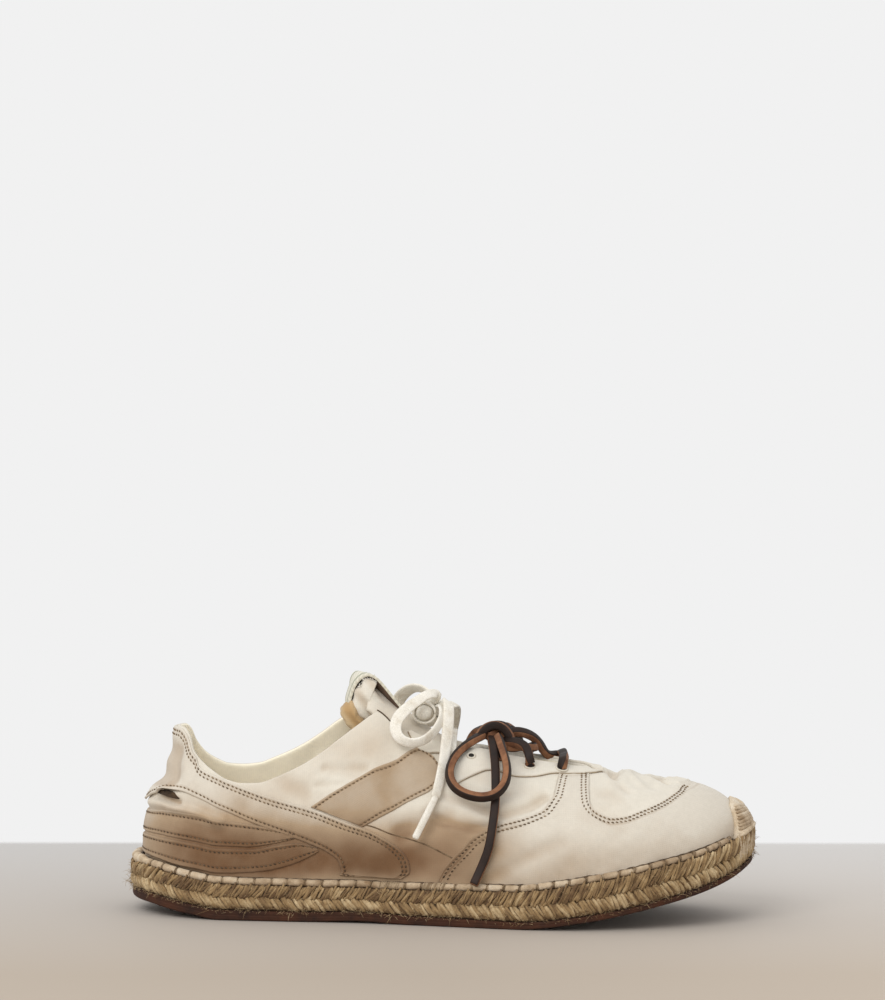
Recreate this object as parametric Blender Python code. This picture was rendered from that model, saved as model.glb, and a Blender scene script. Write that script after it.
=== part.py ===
"""Low canvas sneaker on a jute-braid sole: one right shoe, empty, standing on its tread.

The tables are in millimetres. A station is the distance forward from the heel end of the sole,
lateral is the outer side of the foot (-Y) and medial the inner side (+Y). The upper is a fan of
sections: each starts at a foot point on the feather line, where the upper meets the sole, and
climbs to a ridge line along the middle of the shoe. Girth is the share of that climb, in
percent. The upper stops at the collar and at the throat, short of the ridge.
"""
import math

import bpy
import numpy as np

MM = 0.001
GAP = 0.3                  # between pieces that meet
WALL = 2.0                 # canvas and lining together
OVERLAY = 1.3              # canvas overlays sewn onto the upper

SOLE_LENGTH = 267.0
TOE_APEX = 5.0             # the toe's foremost point lies this far to the medial side
HEEL_INSET = 6.4           # from the rim of the sole to the feather line
SIDE_INSET = 5.2
TOE_INSET = 5.4
OUTSOLE_INSET = 0.9
GROOVE = 1.7               # depth of the valley between the two rows of braid
RAND_RADIUS = 1.7
RAND_INSET = 3.1
INSOLE = 3.0
TONGUE = 2.4
WEBBING = (10.0, 1.8)      # width and thickness of the pull loop
TAPE_RADIUS = 1.5          # white lace
THONG_RADIUS = 1.7         # leather lace


def table(columns, *rows):
    """A table as a dictionary of columns."""
    return dict(zip(columns.split(), np.array(rows, float).T))


RIM = table(
    "station lateral medial",
    (3.5, 14.0, 14.0), (13.0, 24.5, 24.5), (30.0, 31.5, 31.5), (55.0, 34.0, 33.0),
    (85.0, 35.0, 31.5), (115.0, 38.0, 33.5), (145.0, 43.5, 38.5), (172.0, 48.0, 45.0),
    (195.0, 48.5, 48.5), (217.0, 44.5, 46.8), (237.0, 36.5, 40.5), (252.0, 26.0, 31.5),
    (262.5, 12.0, 20.5))

# rise of the tread above the floor, the sole's whole height and the rubber's share of it
SOLE = table(
    "station rise height rubber",
    (0, 6.2, 15.0, 4.4), (9, 5.2, 15.4, 4.4), (19, 3.2, 15.4, 4.4), (29, 1.5, 15.4, 4.4),
    (38, 0.0, 15.3, 4.4), (74, 0.0, 15.0, 4.3), (97, 0.9, 14.2, 4.0), (122, 0.0, 14.9, 3.8),
    (166, 0.0, 15.9, 3.2), (174, 0.7, 16.1, 3.0), (191, 3.1, 16.5, 2.8), (208, 6.2, 16.5, 2.6),
    (225, 10.0, 16.3, 2.5), (242, 14.4, 15.9, 2.5), (256, 19.3, 15.5, 2.5), (267, 25.0, 15.0, 2.5))

# where the section that starts at a foot station meets the ridge line
SPINE = table(
    "foot ridge",
    (6, 34.0), (20, 39.5), (40, 50.0), (60, 63.5), (82, 82.0), (200, 200.0),
    (222, 214.5), (245, 224.0), (262, 228.0))

# the ridge's height and sideways place, then the handles of the section's curve: swell and low
# at the foot, inward and high at the ridge, for each side
SECTION = table(
    "ridge height across swell low lateral_in lateral_high medial_in medial_high",
    (34, 112.0, 0.0, 4.0, 0.28, 0.44, 0.58, 0.44, 0.58),
    (60, 113.0, 0.0, 5.0, 0.30, 0.30, 0.55, 0.30, 0.55),
    (82, 110.0, 0.0, 4.5, 0.30, 0.22, 0.68, 0.22, 0.68),
    (96, 105.5, 0.3, 4.2, 0.31, 0.16, 0.80, 0.16, 0.80),
    (104, 101.0, 0.5, 4.0, 0.32, 0.14, 0.88, 0.14, 0.88),
    (111, 95.0, 0.8, 3.8, 0.33, 0.16, 0.90, 0.15, 0.90),
    (118, 89.5, 1.0, 3.5, 0.35, 0.20, 0.94, 0.18, 0.94),
    (128, 82.5, 1.5, 3.2, 0.37, 0.24, 0.97, 0.20, 0.97),
    (138, 77.0, 1.5, 3.0, 0.38, 0.20, 0.98, 0.22, 0.98),
    (150, 74.5, 2.0, 3.0, 0.40, 0.20, 1.00, 0.24, 1.00),
    (170, 69.7, 2.5, 3.0, 0.45, 0.32, 1.00, 0.28, 1.00),
    (185, 66.0, 2.5, 3.0, 0.50, 0.34, 1.00, 0.30, 1.00),
    (203, 62.0, 3.0, 3.0, 0.50, 0.36, 1.00, 0.32, 1.00),
    (218, 60.3, 3.0, 2.0, 0.48, 0.36, 0.98, 0.34, 0.98),
    (228, 59.2, 3.0, 1.0, 0.45, 0.35, 0.95, 0.35, 0.95))

# height of the top line, then half the width of the throat in front of it
COLLAR = table(
    "station lateral medial",
    (18.0, 79.5, 79.5), (22.5, 79.2, 79.2), (24.5, 77.0, 77.5), (27.3, 69.8, 71.0),
    (31.0, 65.6, 66.2), (35.5, 62.3, 63.2), (41.0, 59.3, 61.0), (47.5, 58.0, 60.5),
    (54.0, 58.2, 61.2), (61.5, 60.8, 64.2), (72.0, 65.8, 69.8), (80.5, 71.1, 75.3),
    (89.0, 77.7, 82.0), (96.0, 83.1, 86.6), (101.0, 86.8, 89.0), (104.5, 88.6, 89.8),
    (107.0, 87.3, 88.2), (111.0, 83.6, 84.4))
THROAT = table(
    "station half",
    (127, 15.5), (136, 14.3), (150, 13.0), (165, 12.0), (178, 10.5), (188, 8.0), (195, 5.0),
    (199.5, 2.2), (201.5, 0.0))

# Overlays lie between a lower and an upper rail, each point a foot station and a girth. The rows
# run forward from the heel's middle, or back from the toe's middle, on both sides alike.
RAILS = "low_station low_girth high_station high_girth"
HEEL_STRAP = table(
    RAILS,
    (6.4, 32.5, 6.4, 66.0), (9.0, 37.5, 10.3, 65.0), (13.0, 40.5, 14.0, 61.0),
    (19.4, 40.0, 19.5, 54.8), (27.2, 37.5, 26.5, 49.0), (39.0, 32.5, 38.0, 45.3),
    (52.4, 27.0, 52.0, 41.5), (64.0, 23.0, 66.0, 37.5), (76.0, 18.5, 80.3, 32.8),
    (84.0, 15.2, 94.0, 28.0), (88.5, 11.5, 105.0, 24.5), (90.0, 7.0, 114.0, 20.5),
    (89.5, 6.0, 119.0, 14.0), (94.0, 5.6, 119.6, 9.5), (104.0, 5.6, 116.5, 5.8))
COUNTER_UPPER = table(
    RAILS,
    (6.4, 15.0, 6.4, 31.7), (9.0, 15.5, 9.0, 36.6), (13.5, 16.4, 13.0, 39.5),
    (19.5, 17.3, 19.4, 39.1), (27.0, 17.7, 27.2, 36.6), (39.0, 17.1, 39.0, 31.6),
    (50.0, 17.4, 52.0, 26.3), (57.0, 19.3, 60.0, 23.5), (62.0, 21.2, 63.5, 22.3))
COUNTER_LOWER = table(
    RAILS,
    (6.4, 5.8, 6.4, 14.2), (13.3, 5.8, 13.5, 15.6), (20.0, 5.6, 20.0, 16.5), (28.7, 5.5, 28.0, 16.9),
    (41.7, 5.5, 40.0, 16.2), (55.5, 6.4, 51.0, 16.8), (65.3, 9.2, 61.0, 20.2),
    (71.7, 13.0, 68.0, 20.6), (76.0, 16.3, 74.5, 18.0))
SADDLE = table(
    RAILS,
    (98.5, 27.8, 76.5, 35.6), (105.5, 31.6, 84.6, 42.2), (113.0, 36.4, 95.0, 47.8),
    (121.0, 42.0, 107.0, 54.8), (131.5, 48.2, 117.5, 62.8))
EYESTAY = table(
    RAILS,
    (207.5, 100, 202.6, 100), (206.0, 90.0, 200.8, 100), (202.4, 80.2, 197.0, 100),
    (195.8, 75.7, 192.0, 100), (188.6, 72.2, 186.0, 100), (180.0, 68.6, 178.5, 100),
    (172.0, 65.0, 171.0, 100), (163.5, 63.0, 163.0, 100), (155.0, 65.0, 155.0, 100),
    (148.0, 61.5, 147.0, 100), (141.0, 56.5, 139.5, 100), (133.0, 56.0, 132.5, 100),
    (126.5, 61.5, 126.5, 100), (121.0, 66.0, 121.5, 100), (117.0, 72.0, 118.0, 100))
TOE_GUARD = table(
    RAILS,
    (262.4, 8.0, 262.4, 78.0), (257.0, 12.0, 257.5, 75.5), (250.0, 13.0, 251.2, 70.2),
    (240.0, 11.5, 240.1, 54.0), (230.5, 10.0, 230.6, 45.5), (222.0, 9.0, 222.8, 40.7),
    (213.0, 8.2, 213.3, 35.7), (204.5, 7.4, 204.3, 34.7), (198.5, 7.0, 197.3, 39.5),
    (195.0, 6.7, 192.6, 47.5), (192.0, 6.4, 191.0, 59.0), (190.0, 5.8, 191.8, 72.4),
    (187.0, 5.8, 183.2, 68.6), (184.5, 5.8, 183.0, 58.0), (181.5, 5.8, 180.7, 49.5),
    (177.0, 5.8, 176.0, 41.5), (170.0, 5.8, 169.9, 36.7), (161.5, 5.8, 160.0, 31.5),
    (153.0, 5.8, 151.0, 26.5), (146.0, 5.8, 144.0, 19.3), (140.5, 5.8, 138.5, 11.0),
    (138.2, 5.8, 136.0, 7.0))
TOE_BUMPER = table(
    RAILS,
    (262.4, 0.0, 262.4, 46.0), (261.6, 0.0, 261.6, 45.0), (260.0, 0.0, 260.2, 41.0),
    (258.4, 0.0, 258.8, 32.0), (257.2, 0.0, 257.6, 18.0), (256.6, 0.0, 256.8, 6.0))

# the tongue's half width, and how far its upper end is swept back at the sides
TONGUE_WIDTH = table(
    "station half sweep",
    (98.0, 17.0, 4.0), (103.0, 20.5, 3.0), (112.0, 21.5, 1.5), (130.0, 20.0, 0.0),
    (165.0, 18.5, 0.0), (190.0, 15.5, 0.0), (207.0, 12.0, 0.0))

# the pull loop from under the tongue, over its end and down its face
LOOP_ROUTE = table(
    "station height",
    (106.0, 85.6), (101.0, 88.4), (96.2, 91.0), (92.0, 95.4), (92.5, 101.0), (95.0, 104.6),
    (98.8, 106.4), (102.4, 105.8), (105.8, 102.4), (109.2, 97.8), (112.6, 93.2), (117.0, 88.6))

# eyelet stations, from the toe back: three carry the leather lace, one is bare, one the tape
EYELETS = (183.0, 170.0, 157.0, 144.0, 131.5)
EYELET_INSET = 8.0         # from the throat's edge to an eyelet

# each knot is a lump: its centre and its half sizes
THONG_KNOT = ((155.3, -0.8, 81.0), (6.6, 7.0, 4.0))
TAPE_KNOT = ((131.2, 0.2, 88.0), (5.7, 5.8, 4.4))

# free laces, each point a station, a distance across and a height
THONG_RUN_NEAR = ((157.5, -6.0, 76.0), (163.0, -9.5, 76.6), (168.4, -14.5, 74.4), (170.8, -18.8, 70.6))
THONG_RUN_FAR = ((157.5, 5.0, 76.0), (162.0, 7.0, 79.2), (168.0, 8.5, 79.4), (173.8, 11.5, 75.8),
                 (178.4, 15.5, 71.0))
THONG_LOOP = ((149.7, -7.0, 79.4), (146.5, -12.5, 78.4), (142.4, -19.0, 76.4), (137.6, -25.2, 72.4),
              (134.8, -30.0, 67.0), (135.6, -34.0, 61.8), (139.2, -37.5, 57.0), (144.5, -39.8, 54.0),
              (150.5, -40.8, 52.8), (156.0, -40.6, 54.2), (160.4, -38.6, 58.2), (162.4, -34.6, 64.0),
              (162.0, -28.5, 69.4), (160.4, -20.5, 74.0), (159.0, -13.8, 77.4), (157.8, -9.3, 79.6))
THONG_END = ((153.6, -8.4, 78.2), (154.8, -13.5, 77.2), (156.0, -20.2, 74.4), (157.0, -27.0, 69.0),
             (157.2, -32.4, 61.4), (156.5, -36.7, 52.8), (155.2, -40.8, 43.6), (152.6, -42.8, 33.4),
             (148.9, -43.4, 25.2), (145.0, -45.4, 18.6))
THONG_FAR_LOOP = ((150.9, 5.7, 80.4), (148.6, 13.0, 80.4), (145.6, 21.5, 78.2), (142.6, 28.8, 72.0),
                  (141.5, 33.0, 64.4), (144.0, 36.2, 57.4), (149.0, 38.4, 53.8), (154.5, 39.2, 54.2),
                  (158.6, 38.2, 59.0), (160.0, 34.6, 66.0), (158.8, 27.4, 72.6), (156.8, 18.0, 77.4),
                  (155.2, 11.5, 79.0), (154.6, 7.3, 79.6))
THONG_FAR_END = ((158.5, 7.4, 81.7), (160.4, 13.6, 81.3), (163.5, 20.5, 77.0), (165.5, 28.0, 71.0),
                 (166.8, 34.6, 61.5), (167.2, 39.6, 49.5), (166.0, 42.6, 37.5), (163.4, 44.4, 28.0))
TAPE_LOOP = ((127.3, -5.2, 90.2), (122.8, -10.4, 94.4), (116.6, -17.0, 93.0), (111.4, -22.8, 88.0),
             (110.4, -26.0, 82.6), (114.0, -27.6, 78.6), (120.4, -27.2, 77.4), (126.4, -24.4, 79.6),
             (130.6, -18.6, 84.2), (132.6, -11.5, 88.4), (132.4, -6.5, 90.4))
TAPE_END = ((135.6, -5.0, 90.2), (135.4, -8.2, 94.4), (136.2, -12.4, 93.4), (136.4, -17.2, 87.4),
            (134.4, -22.4, 79.6), (132.2, -26.8, 72.0), (130.2, -30.6, 64.0), (128.2, -34.0, 56.0))
TAPE_FAR_LOOP = ((127.4, 5.4, 90.2), (123.4, 8.6, 95.4), (117.6, 12.6, 97.0), (112.0, 18.4, 93.0),
                 (110.6, 23.4, 86.6), (114.2, 26.8, 80.6), (120.8, 27.6, 78.0), (127.4, 25.0, 79.6),
                 (131.6, 19.0, 83.6), (132.8, 12.4, 87.6), (132.2, 6.7, 89.8))
TAPE_FAR_END = ((136.0, 4.9, 89.6), (137.4, 10.0, 89.4), (138.0, 16.5, 85.8), (137.2, 23.5, 78.8),
                (135.4, 28.8, 70.2), (133.2, 32.0, 61.0))
TIP = (18.0, 1.5, 1.1)     # length, root and end radius of the stiffened tip of the tape

LATERAL, MEDIAL = -1, 1


# ---------------------------------------------------------------- curves through the tables

def slopes(x, y):
    """Slopes at the points, by the harmonic mean, so that the curve never overshoots."""
    h = np.diff(x)
    d = np.diff(y) / h
    m = np.zeros(len(x))
    w1 = 2 * h[1:] + h[:-1]
    w2 = h[1:] + 2 * h[:-1]
    same = d[:-1] * d[1:] > 0
    a = np.where(same, d[:-1], 1.0)
    b = np.where(same, d[1:], 1.0)
    m[1:-1] = np.where(same, (w1 + w2) / (w1 / a + w2 / b), 0.0)
    m[0] = d[0]
    m[-1] = d[-1]
    return m


def along(rows, column, at, key="station"):
    """The column's value at a station, by a smooth cubic through the rows."""
    x = rows[key]
    y = rows[column]
    m = slopes(x, y)
    at = np.asarray(at, float)
    i = np.clip(np.searchsorted(x, at) - 1, 0, len(x) - 2)
    h = (x[1:] - x[:-1])[i]
    t = np.clip((at - x[i]) / h, 0, 1)
    return ((2 * t**3 - 3 * t**2 + 1) * y[i] + (t**3 - 2 * t**2 + t) * h * m[i]
            + (3 * t**2 - 2 * t**3) * y[i + 1] + (t**3 - t**2) * h * m[i + 1])


def smooth_route(points, spacing, closed=False):
    """Points about a spacing apart on a natural cubic spline through the route's points."""
    p = np.array(points, float)
    n = len(p)
    ahead = np.roll(p, -1, 0) if closed else p[1:]
    h = np.linalg.norm(ahead - (p if closed else p[:-1]), axis=1)
    at = np.concatenate([[0], np.cumsum(h)])
    a = np.zeros((n, n))
    b = np.zeros(p.shape)
    for i in range(n):
        back, front = (i - 1) % n, (i + 1) % n
        if closed or i > 0:
            a[i, back] += 1 / h[i - 1]
            a[i, i] += 2 / h[i - 1]
            b[i] += 3 * (p[i] - p[back]) / h[i - 1]**2
        if closed or i < n - 1:
            a[i, front] += 1 / h[i]
            a[i, i] += 2 / h[i]
            b[i] += 3 * (p[front] - p[i]) / h[i]**2
    m = np.linalg.solve(a, b)
    count = max(2, round(at[-1] / spacing) + (0 if closed else 1))
    q = np.linspace(0, at[-1], count, endpoint=not closed)
    i = np.clip(np.searchsorted(at, q, side="right") - 1, 0, len(h) - 1)
    j = (i + 1) % n
    t = ((q - at[i]) / h[i])[:, None]
    g = h[i][:, None]
    return ((2 * t**3 - 3 * t**2 + 1) * p[i] + (t**3 - 2 * t**2 + t) * g * m[i]
            + (3 * t**2 - 2 * t**3) * p[j] + (t**3 - t**2) * g * m[j])


# ---------------------------------------------------------------- the sole's outline

def rim_loop():
    """The sole's outline, heel to toe along the lateral side and back along the medial one."""
    heel = [(0.0, 0.0)]
    toe = [(SOLE_LENGTH, TOE_APEX)]
    lateral = list(zip(RIM["station"], -RIM["lateral"]))
    medial = list(zip(RIM["station"], RIM["medial"]))
    return smooth_route(heel + lateral + toe + medial[::-1], 0.2, closed=True)


OUTLINE = rim_loop()
TANGENT = np.roll(OUTLINE, -1, 0) - np.roll(OUTLINE, 1, 0)
TANGENT /= np.linalg.norm(TANGENT, axis=1)[:, None]
INWARD = np.stack([-TANGENT[:, 1], TANGENT[:, 0]], 1)
FEATHER = np.interp(OUTLINE[:, 0], [0, 40, 220, SOLE_LENGTH],
                    [HEEL_INSET, SIDE_INSET, SIDE_INSET, TOE_INSET])


def inset_line(inset):
    """The outline moved inwards, as its lateral and its medial half, heel to toe."""
    p = OUTLINE + INWARD * np.broadcast_to(inset, len(OUTLINE))[:, None]
    heel = np.argmin(p[:, 0])
    toe = np.argmax(p[:, 0])
    p = np.roll(p, -heel, 0)
    toe = (toe - heel) % len(p)
    return p[:toe + 1], np.concatenate([p[toe:], p[:1]])[::-1]


FOOT_LINE = dict(zip((LATERAL, MEDIAL), inset_line(FEATHER)))
FOOT_START = FOOT_LINE[LATERAL][0, 0]
FOOT_END = FOOT_LINE[LATERAL][-1, 0]


def turn_station(turn, start=FOOT_START, end=FOOT_END):
    """Station at a turn from 0 at the heel to 1 at the toe, with the ends taken slowly."""
    return start + (end - start) * (1 - np.cos(np.pi * np.asarray(turn, float))) / 2


def station_turn(station):
    share = (np.asarray(station, float) - FOOT_START) / (FOOT_END - FOOT_START)
    return np.arccos(np.clip(1 - 2 * share, -1, 1)) / np.pi


def sole_top(station):
    return along(SOLE, "rise", station) + along(SOLE, "height", station)


# ---------------------------------------------------------------- the upper's surface

def surface(turn, girth, side):
    """Point of the upper's outside; girth runs from 0 at the feather line to 1 at the ridge."""
    turn, girth = np.broadcast_arrays(np.asarray(turn, float), np.asarray(girth, float))
    foot = turn_station(turn)
    line = FOOT_LINE[side]
    y = np.interp(foot, line[:, 0], line[:, 1])
    z = sole_top(foot)
    ridge = along(SPINE, "ridge", foot, "foot")
    name = "lateral" if side == LATERAL else "medial"
    height = along(SECTION, "height", ridge, "ridge") - z
    dx = ridge - foot
    dy = along(SECTION, "across", ridge, "ridge") - y
    width = np.hypot(dx, dy)
    out = [0, -along(SECTION, "swell", ridge, "ridge"),
           along(SECTION, name + "_in", ridge, "ridge") * width, width]
    up = [0, along(SECTION, "low", ridge, "ridge") * height,
          along(SECTION, name + "_high", ridge, "ridge") * height, height]
    weight = [(1 - girth)**3, 3 * (1 - girth)**2 * girth, 3 * (1 - girth) * girth**2, girth**3]
    in_plan = sum(w * o for w, o in zip(weight, out))
    climb = sum(w * u for w, u in zip(weight, up))
    return np.stack([foot + dx / width * in_plan, y + dy / width * in_plan, z + climb], -1)


def normal(turn, girth, side, step=1e-3):
    """Unit normal of the upper's outside, pointing out of the shoe."""
    turn, girth = np.broadcast_arrays(np.asarray(turn, float), np.asarray(girth, float))
    ahead = surface(np.clip(turn + step, 0, 1), girth, side)
    behind = surface(np.clip(turn - step, 0, 1), girth, side)
    above = surface(turn, np.clip(girth + step, 0, 1), side)
    below = surface(turn, np.clip(girth - step, 0, 1), side)
    n = np.cross(ahead - behind, above - below) * -side
    return n / np.linalg.norm(n, axis=-1, keepdims=True)


def shell(turn, girth, side, offset):
    """Point at a distance outside the upper's outside surface."""
    return surface(turn, girth, side) + normal(turn, girth, side) * np.asarray(offset)[..., None]


def girth_at_width(station, half, side):
    """Girth at which a section is the given distance from the middle of the shoe."""
    girth = np.linspace(0.3, 1, 701)
    p = surface(station_turn(station), girth, side)
    middle = along(SECTION, "across", along(SPINE, "ridge", station, "foot"), "ridge")
    return float(np.interp(-half, -np.abs(p[:, 1] - middle), girth))


def top_edge(side):
    """Table of the girth at which the upper stops: at the collar's height, then at the throat."""
    girth = np.linspace(0, 1, 801)
    name = "lateral" if side == LATERAL else "medial"
    rows = []
    for turn in np.linspace(0, station_turn(COLLAR["station"][-1]), 90):
        p = surface(turn, girth, side)
        over = p[:, 2] - along(COLLAR, name, p[:, 0])
        i = np.argmax(over > 0)
        share = over[i - 1] / (over[i - 1] - over[i])
        rows.append((turn, girth[i - 1] + share * (girth[i] - girth[i - 1])))
    for station, half in zip(THROAT["station"], THROAT["half"]):
        rows.append((station_turn(station), girth_at_width(station, half, side)))
    return table("turn girth", *rows)


EDGE = {LATERAL: top_edge(LATERAL), MEDIAL: top_edge(MEDIAL)}
THROAT_END = float(station_turn(THROAT["station"][-1]))


def edge_girth(turn, side):
    return np.where(turn >= THROAT_END, 1.0, along(EDGE[side], "girth", turn, "turn"))


# ---------------------------------------------------------------- meshes

def material(name, colour, roughness):
    made = bpy.data.materials.new(name)
    made.use_nodes = True
    shader = made.node_tree.nodes["Principled BSDF"]
    linear = [((c + 0.055) / 1.055)**2.4 for c in (int(colour[i:i + 2], 16) / 255 for i in (1, 3, 5))]
    shader.inputs["Base Color"].default_value = (*linear, 1)
    shader.inputs["Roughness"].default_value = roughness
    made.diffuse_color = (*linear, 1)
    return made


def to_world(points):
    """Millimetres from the heel end to metres from the middle of the shoe's length."""
    p = np.array(points, float).reshape(-1, 3)
    p[:, 0] -= SOLE_LENGTH / 2
    return p * MM


def signed_volume(points, faces):
    total = 0.0
    for face in faces:
        for i in range(1, len(face) - 1):
            total += np.dot(points[face[0]], np.cross(points[face[i]], points[face[i + 1]]))
    return total / 6


def solid(name, points, faces, made_of, smooth=40):
    """A closed mesh object whose faces point out."""
    p = to_world(points)
    if signed_volume(p, faces) < 0:
        faces = [face[::-1] for face in faces]
    mesh = bpy.data.meshes.new(name)
    mesh.from_pydata(p.tolist(), [], faces)
    mesh.shade_smooth()
    mesh.set_sharp_from_angle(angle=math.radians(smooth))
    mesh.materials.append(made_of)
    made = bpy.data.objects.new(name, mesh)
    bpy.context.scene.collection.objects.link(made)
    return made


def slab(name, outer, inner, made_of):
    """Solid between two grids of points that have the same rows and columns."""
    n, m = outer.shape[:2]
    index = np.arange(n * m).reshape(n, m)
    faces = []
    for i in range(n - 1):
        for j in range(m - 1):
            a, b, c, d = index[i, j], index[i + 1, j], index[i + 1, j + 1], index[i, j + 1]
            faces.append((a, b, c, d))
            faces.append((d + n * m, c + n * m, b + n * m, a + n * m))
    border = ([(i, 0) for i in range(n)] + [(n - 1, j) for j in range(1, m)]
              + [(i, m - 1) for i in range(n - 2, -1, -1)] + [(0, j) for j in range(m - 2, 0, -1)])
    for k, here in enumerate(border):
        there = border[(k + 1) % len(border)]
        a, b = index[here], index[there]
        faces.append((b, a, a + n * m, b + n * m))
    points = np.concatenate([outer.reshape(-1, 3), inner.reshape(-1, 3)])
    return solid(name, points, [tuple(int(v) for v in face) for face in faces], made_of)


def plate(name, rings, made_of, halves=32):
    """Solid of the sole's outline, from rings of an inset and a height for each station."""
    turns = np.linspace(0, 1, halves + 1)
    points = []
    for inset, height in rings:
        lateral, medial = inset_line(inset)
        s = turn_station(turns, lateral[0, 0], lateral[-1, 0])
        z = height(s)
        near = np.stack([s, np.interp(s, lateral[:, 0], lateral[:, 1]), z], 1)
        far = np.stack([s, np.interp(s, medial[:, 0], medial[:, 1]), z], 1)
        points.append(np.concatenate([near, far[-2:0:-1]]))
    loop = 2 * halves
    faces = []
    for r in range(len(rings) - 1):
        for k in range(loop):
            a, b = r * loop + k, r * loop + (k + 1) % loop
            faces.append((a, b, b + loop, a + loop))
    for first, flip in ((0, True), ((len(rings) - 1) * loop, False)):
        for k in range(halves):
            strip = [first + k, first + k + 1, first + (loop - k - 1) % loop, first + (loop - k) % loop]
            strip = list(dict.fromkeys(strip))
            faces.append(tuple(strip[::-1] if flip else strip))
    return solid(name, np.concatenate(points), faces, made_of)


def patch(rows, across, offset, sides=(LATERAL, MEDIAL), step=0.028):
    """Grid of an overlay, with a column at each row of its table and more where it turns."""
    rails = {end + "_turn": station_turn(rows[end + "_station"]) for end in ("low", "high")}
    rails.update({end + "_girth": rows[end + "_girth"] / 100 for end in ("low", "high")})
    last = len(rails["low_turn"]) - 1
    rails["row"] = np.arange(last + 1.0)
    moves = np.maximum(abs(np.diff(rails["low_turn"])), abs(np.diff(rails["high_turn"])))
    counts = np.maximum(1, np.ceil(moves / step)).astype(int)
    t = np.concatenate([k + np.arange(n) / n for k, n in enumerate(counts)] + [[last]])
    low_turn, low, high_turn, high = (along(rails, name, t, "row")[:, None] for name in
                                      ("low_turn", "low_girth", "high_turn", "high_girth"))
    r = np.linspace(0, 1, across)[None, :]
    turn = low_turn * (1 - r) + high_turn * r
    halves = []
    for side in sides:
        limit = edge_girth(high_turn, side) - 0.008 * (high_turn < THROAT_END)
        girth = low * (1 - r) + np.minimum(high, limit) * r
        halves.append(shell(turn, girth, side, offset(t[:, None], r) + 0 * turn))
    if len(sides) == 1:
        return halves[0]
    return np.concatenate([halves[0][::-1], halves[1][1:]])


def overlay(name, rows, made_of, across=5, lift=GAP, sides=(LATERAL, MEDIAL), flare=None):
    """Sheet of canvas lying on the upper between its two rails."""
    extra = flare or (lambda t, r: 0 * t * r)
    inner = patch(rows, across, lambda t, r: lift + extra(t, r), sides)
    outer = patch(rows, across, lambda t, r: lift + OVERLAY + extra(t, r), sides)
    return slab(name, outer, inner, made_of)


def tube_mesh(name, points, radius, sides, made_of):
    """Closed tube along points, with its frame carried along without twist."""
    p = np.array(points, float)
    radius = np.broadcast_to(radius, len(p))
    tangent = np.gradient(p, axis=0)
    tangent /= np.linalg.norm(tangent, axis=1)[:, None]
    reference = np.array([0, 0, 1.0]) if abs(tangent[0, 2]) < 0.9 else np.array([1.0, 0, 0])
    side = np.cross(tangent[0], reference)
    rings = []
    angle = np.linspace(0, 2 * np.pi, sides, endpoint=False)[:, None]
    for point, ahead, r in zip(p, tangent, radius):
        side = side - ahead * np.dot(side, ahead)
        side /= np.linalg.norm(side)
        up = np.cross(ahead, side)
        rings.append(point + r * (np.cos(angle) * side + np.sin(angle) * up))
    n = len(p)
    faces = [(k * sides + i, k * sides + (i + 1) % sides, (k + 1) * sides + (i + 1) % sides,
              (k + 1) * sides + i) for k in range(n - 1) for i in range(sides)]
    faces.append(tuple(range(sides))[::-1])
    faces.append(tuple((n - 1) * sides + i for i in range(sides)))
    return solid(name, np.concatenate(rings), faces, made_of)


def cord(name, points, radius, made_of, spacing=None, rounding=2):
    """Free lace: a curve with a round bevel and filled ends, on a smooth route."""
    route = to_world(smooth_route(points, spacing or 5.0 * radius))
    curve = bpy.data.curves.new(name, "CURVE")
    curve.dimensions = "3D"
    curve.bevel_depth = radius * MM
    curve.bevel_resolution = rounding
    curve.use_fill_caps = True
    spline = curve.splines.new("POLY")
    spline.points.add(len(route) - 1)
    for point, place in zip(spline.points, route):
        point.co = (*place, 1)
    curve.materials.append(made_of)
    made = bpy.data.objects.new(name, curve)
    bpy.context.scene.collection.objects.link(made)
    return made


def lump(name, place, made_of):
    """Outer shape of a tied knot: a rounded body of rings."""
    centre, radii = np.array(place)
    angle = np.linspace(0, 2 * np.pi, 12, endpoint=False)
    points = [centre + radii * (0, 0, -1)]
    for rise in np.radians((-60, -30, 0, 30, 60)):
        for turn in angle:
            round_trip = np.array([np.cos(rise) * np.cos(turn), np.cos(rise) * np.sin(turn), np.sin(rise)])
            points.append(centre + radii * round_trip)
    points.append(centre + radii * (0, 0, 1))
    faces = [(0, 1 + (k + 1) % 12, 1 + k) for k in range(12)]
    for ring in range(4):
        for k in range(12):
            a, b = 1 + ring * 12 + k, 1 + ring * 12 + (k + 1) % 12
            faces.append((a, b, b + 12, a + 12))
    faces += [(61, 49 + k, 49 + (k + 1) % 12) for k in range(12)]
    return solid(name, points, faces, made_of, 80)


def join_solids(base, *others):
    """Union of solids that run into each other; the others stay as hidden cutters."""
    for other in others:
        other.hide_render = True
        other.display_type = "WIRE"
        union = base.modifiers.new("join " + other.name, "BOOLEAN")
        union.operation = "UNION"
        union.solver = "EXACT"
        union.object = other
    return base


# ---------------------------------------------------------------- the pieces

def outsole(rubber):
    """Thin rubber tread, flat under the heel and the ball and sprung up at both ends."""
    def level(share):
        return lambda s: along(SOLE, "rise", s) + share * along(SOLE, "rubber", s)
    rings = [(OUTSOLE_INSET + 1.2, level(0.0)), (OUTSOLE_INSET + 0.3, level(0.18)),
             (OUTSOLE_INSET, level(0.5)), (OUTSOLE_INSET, level(1.0))]
    return plate("outsole", rings, rubber)


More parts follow.
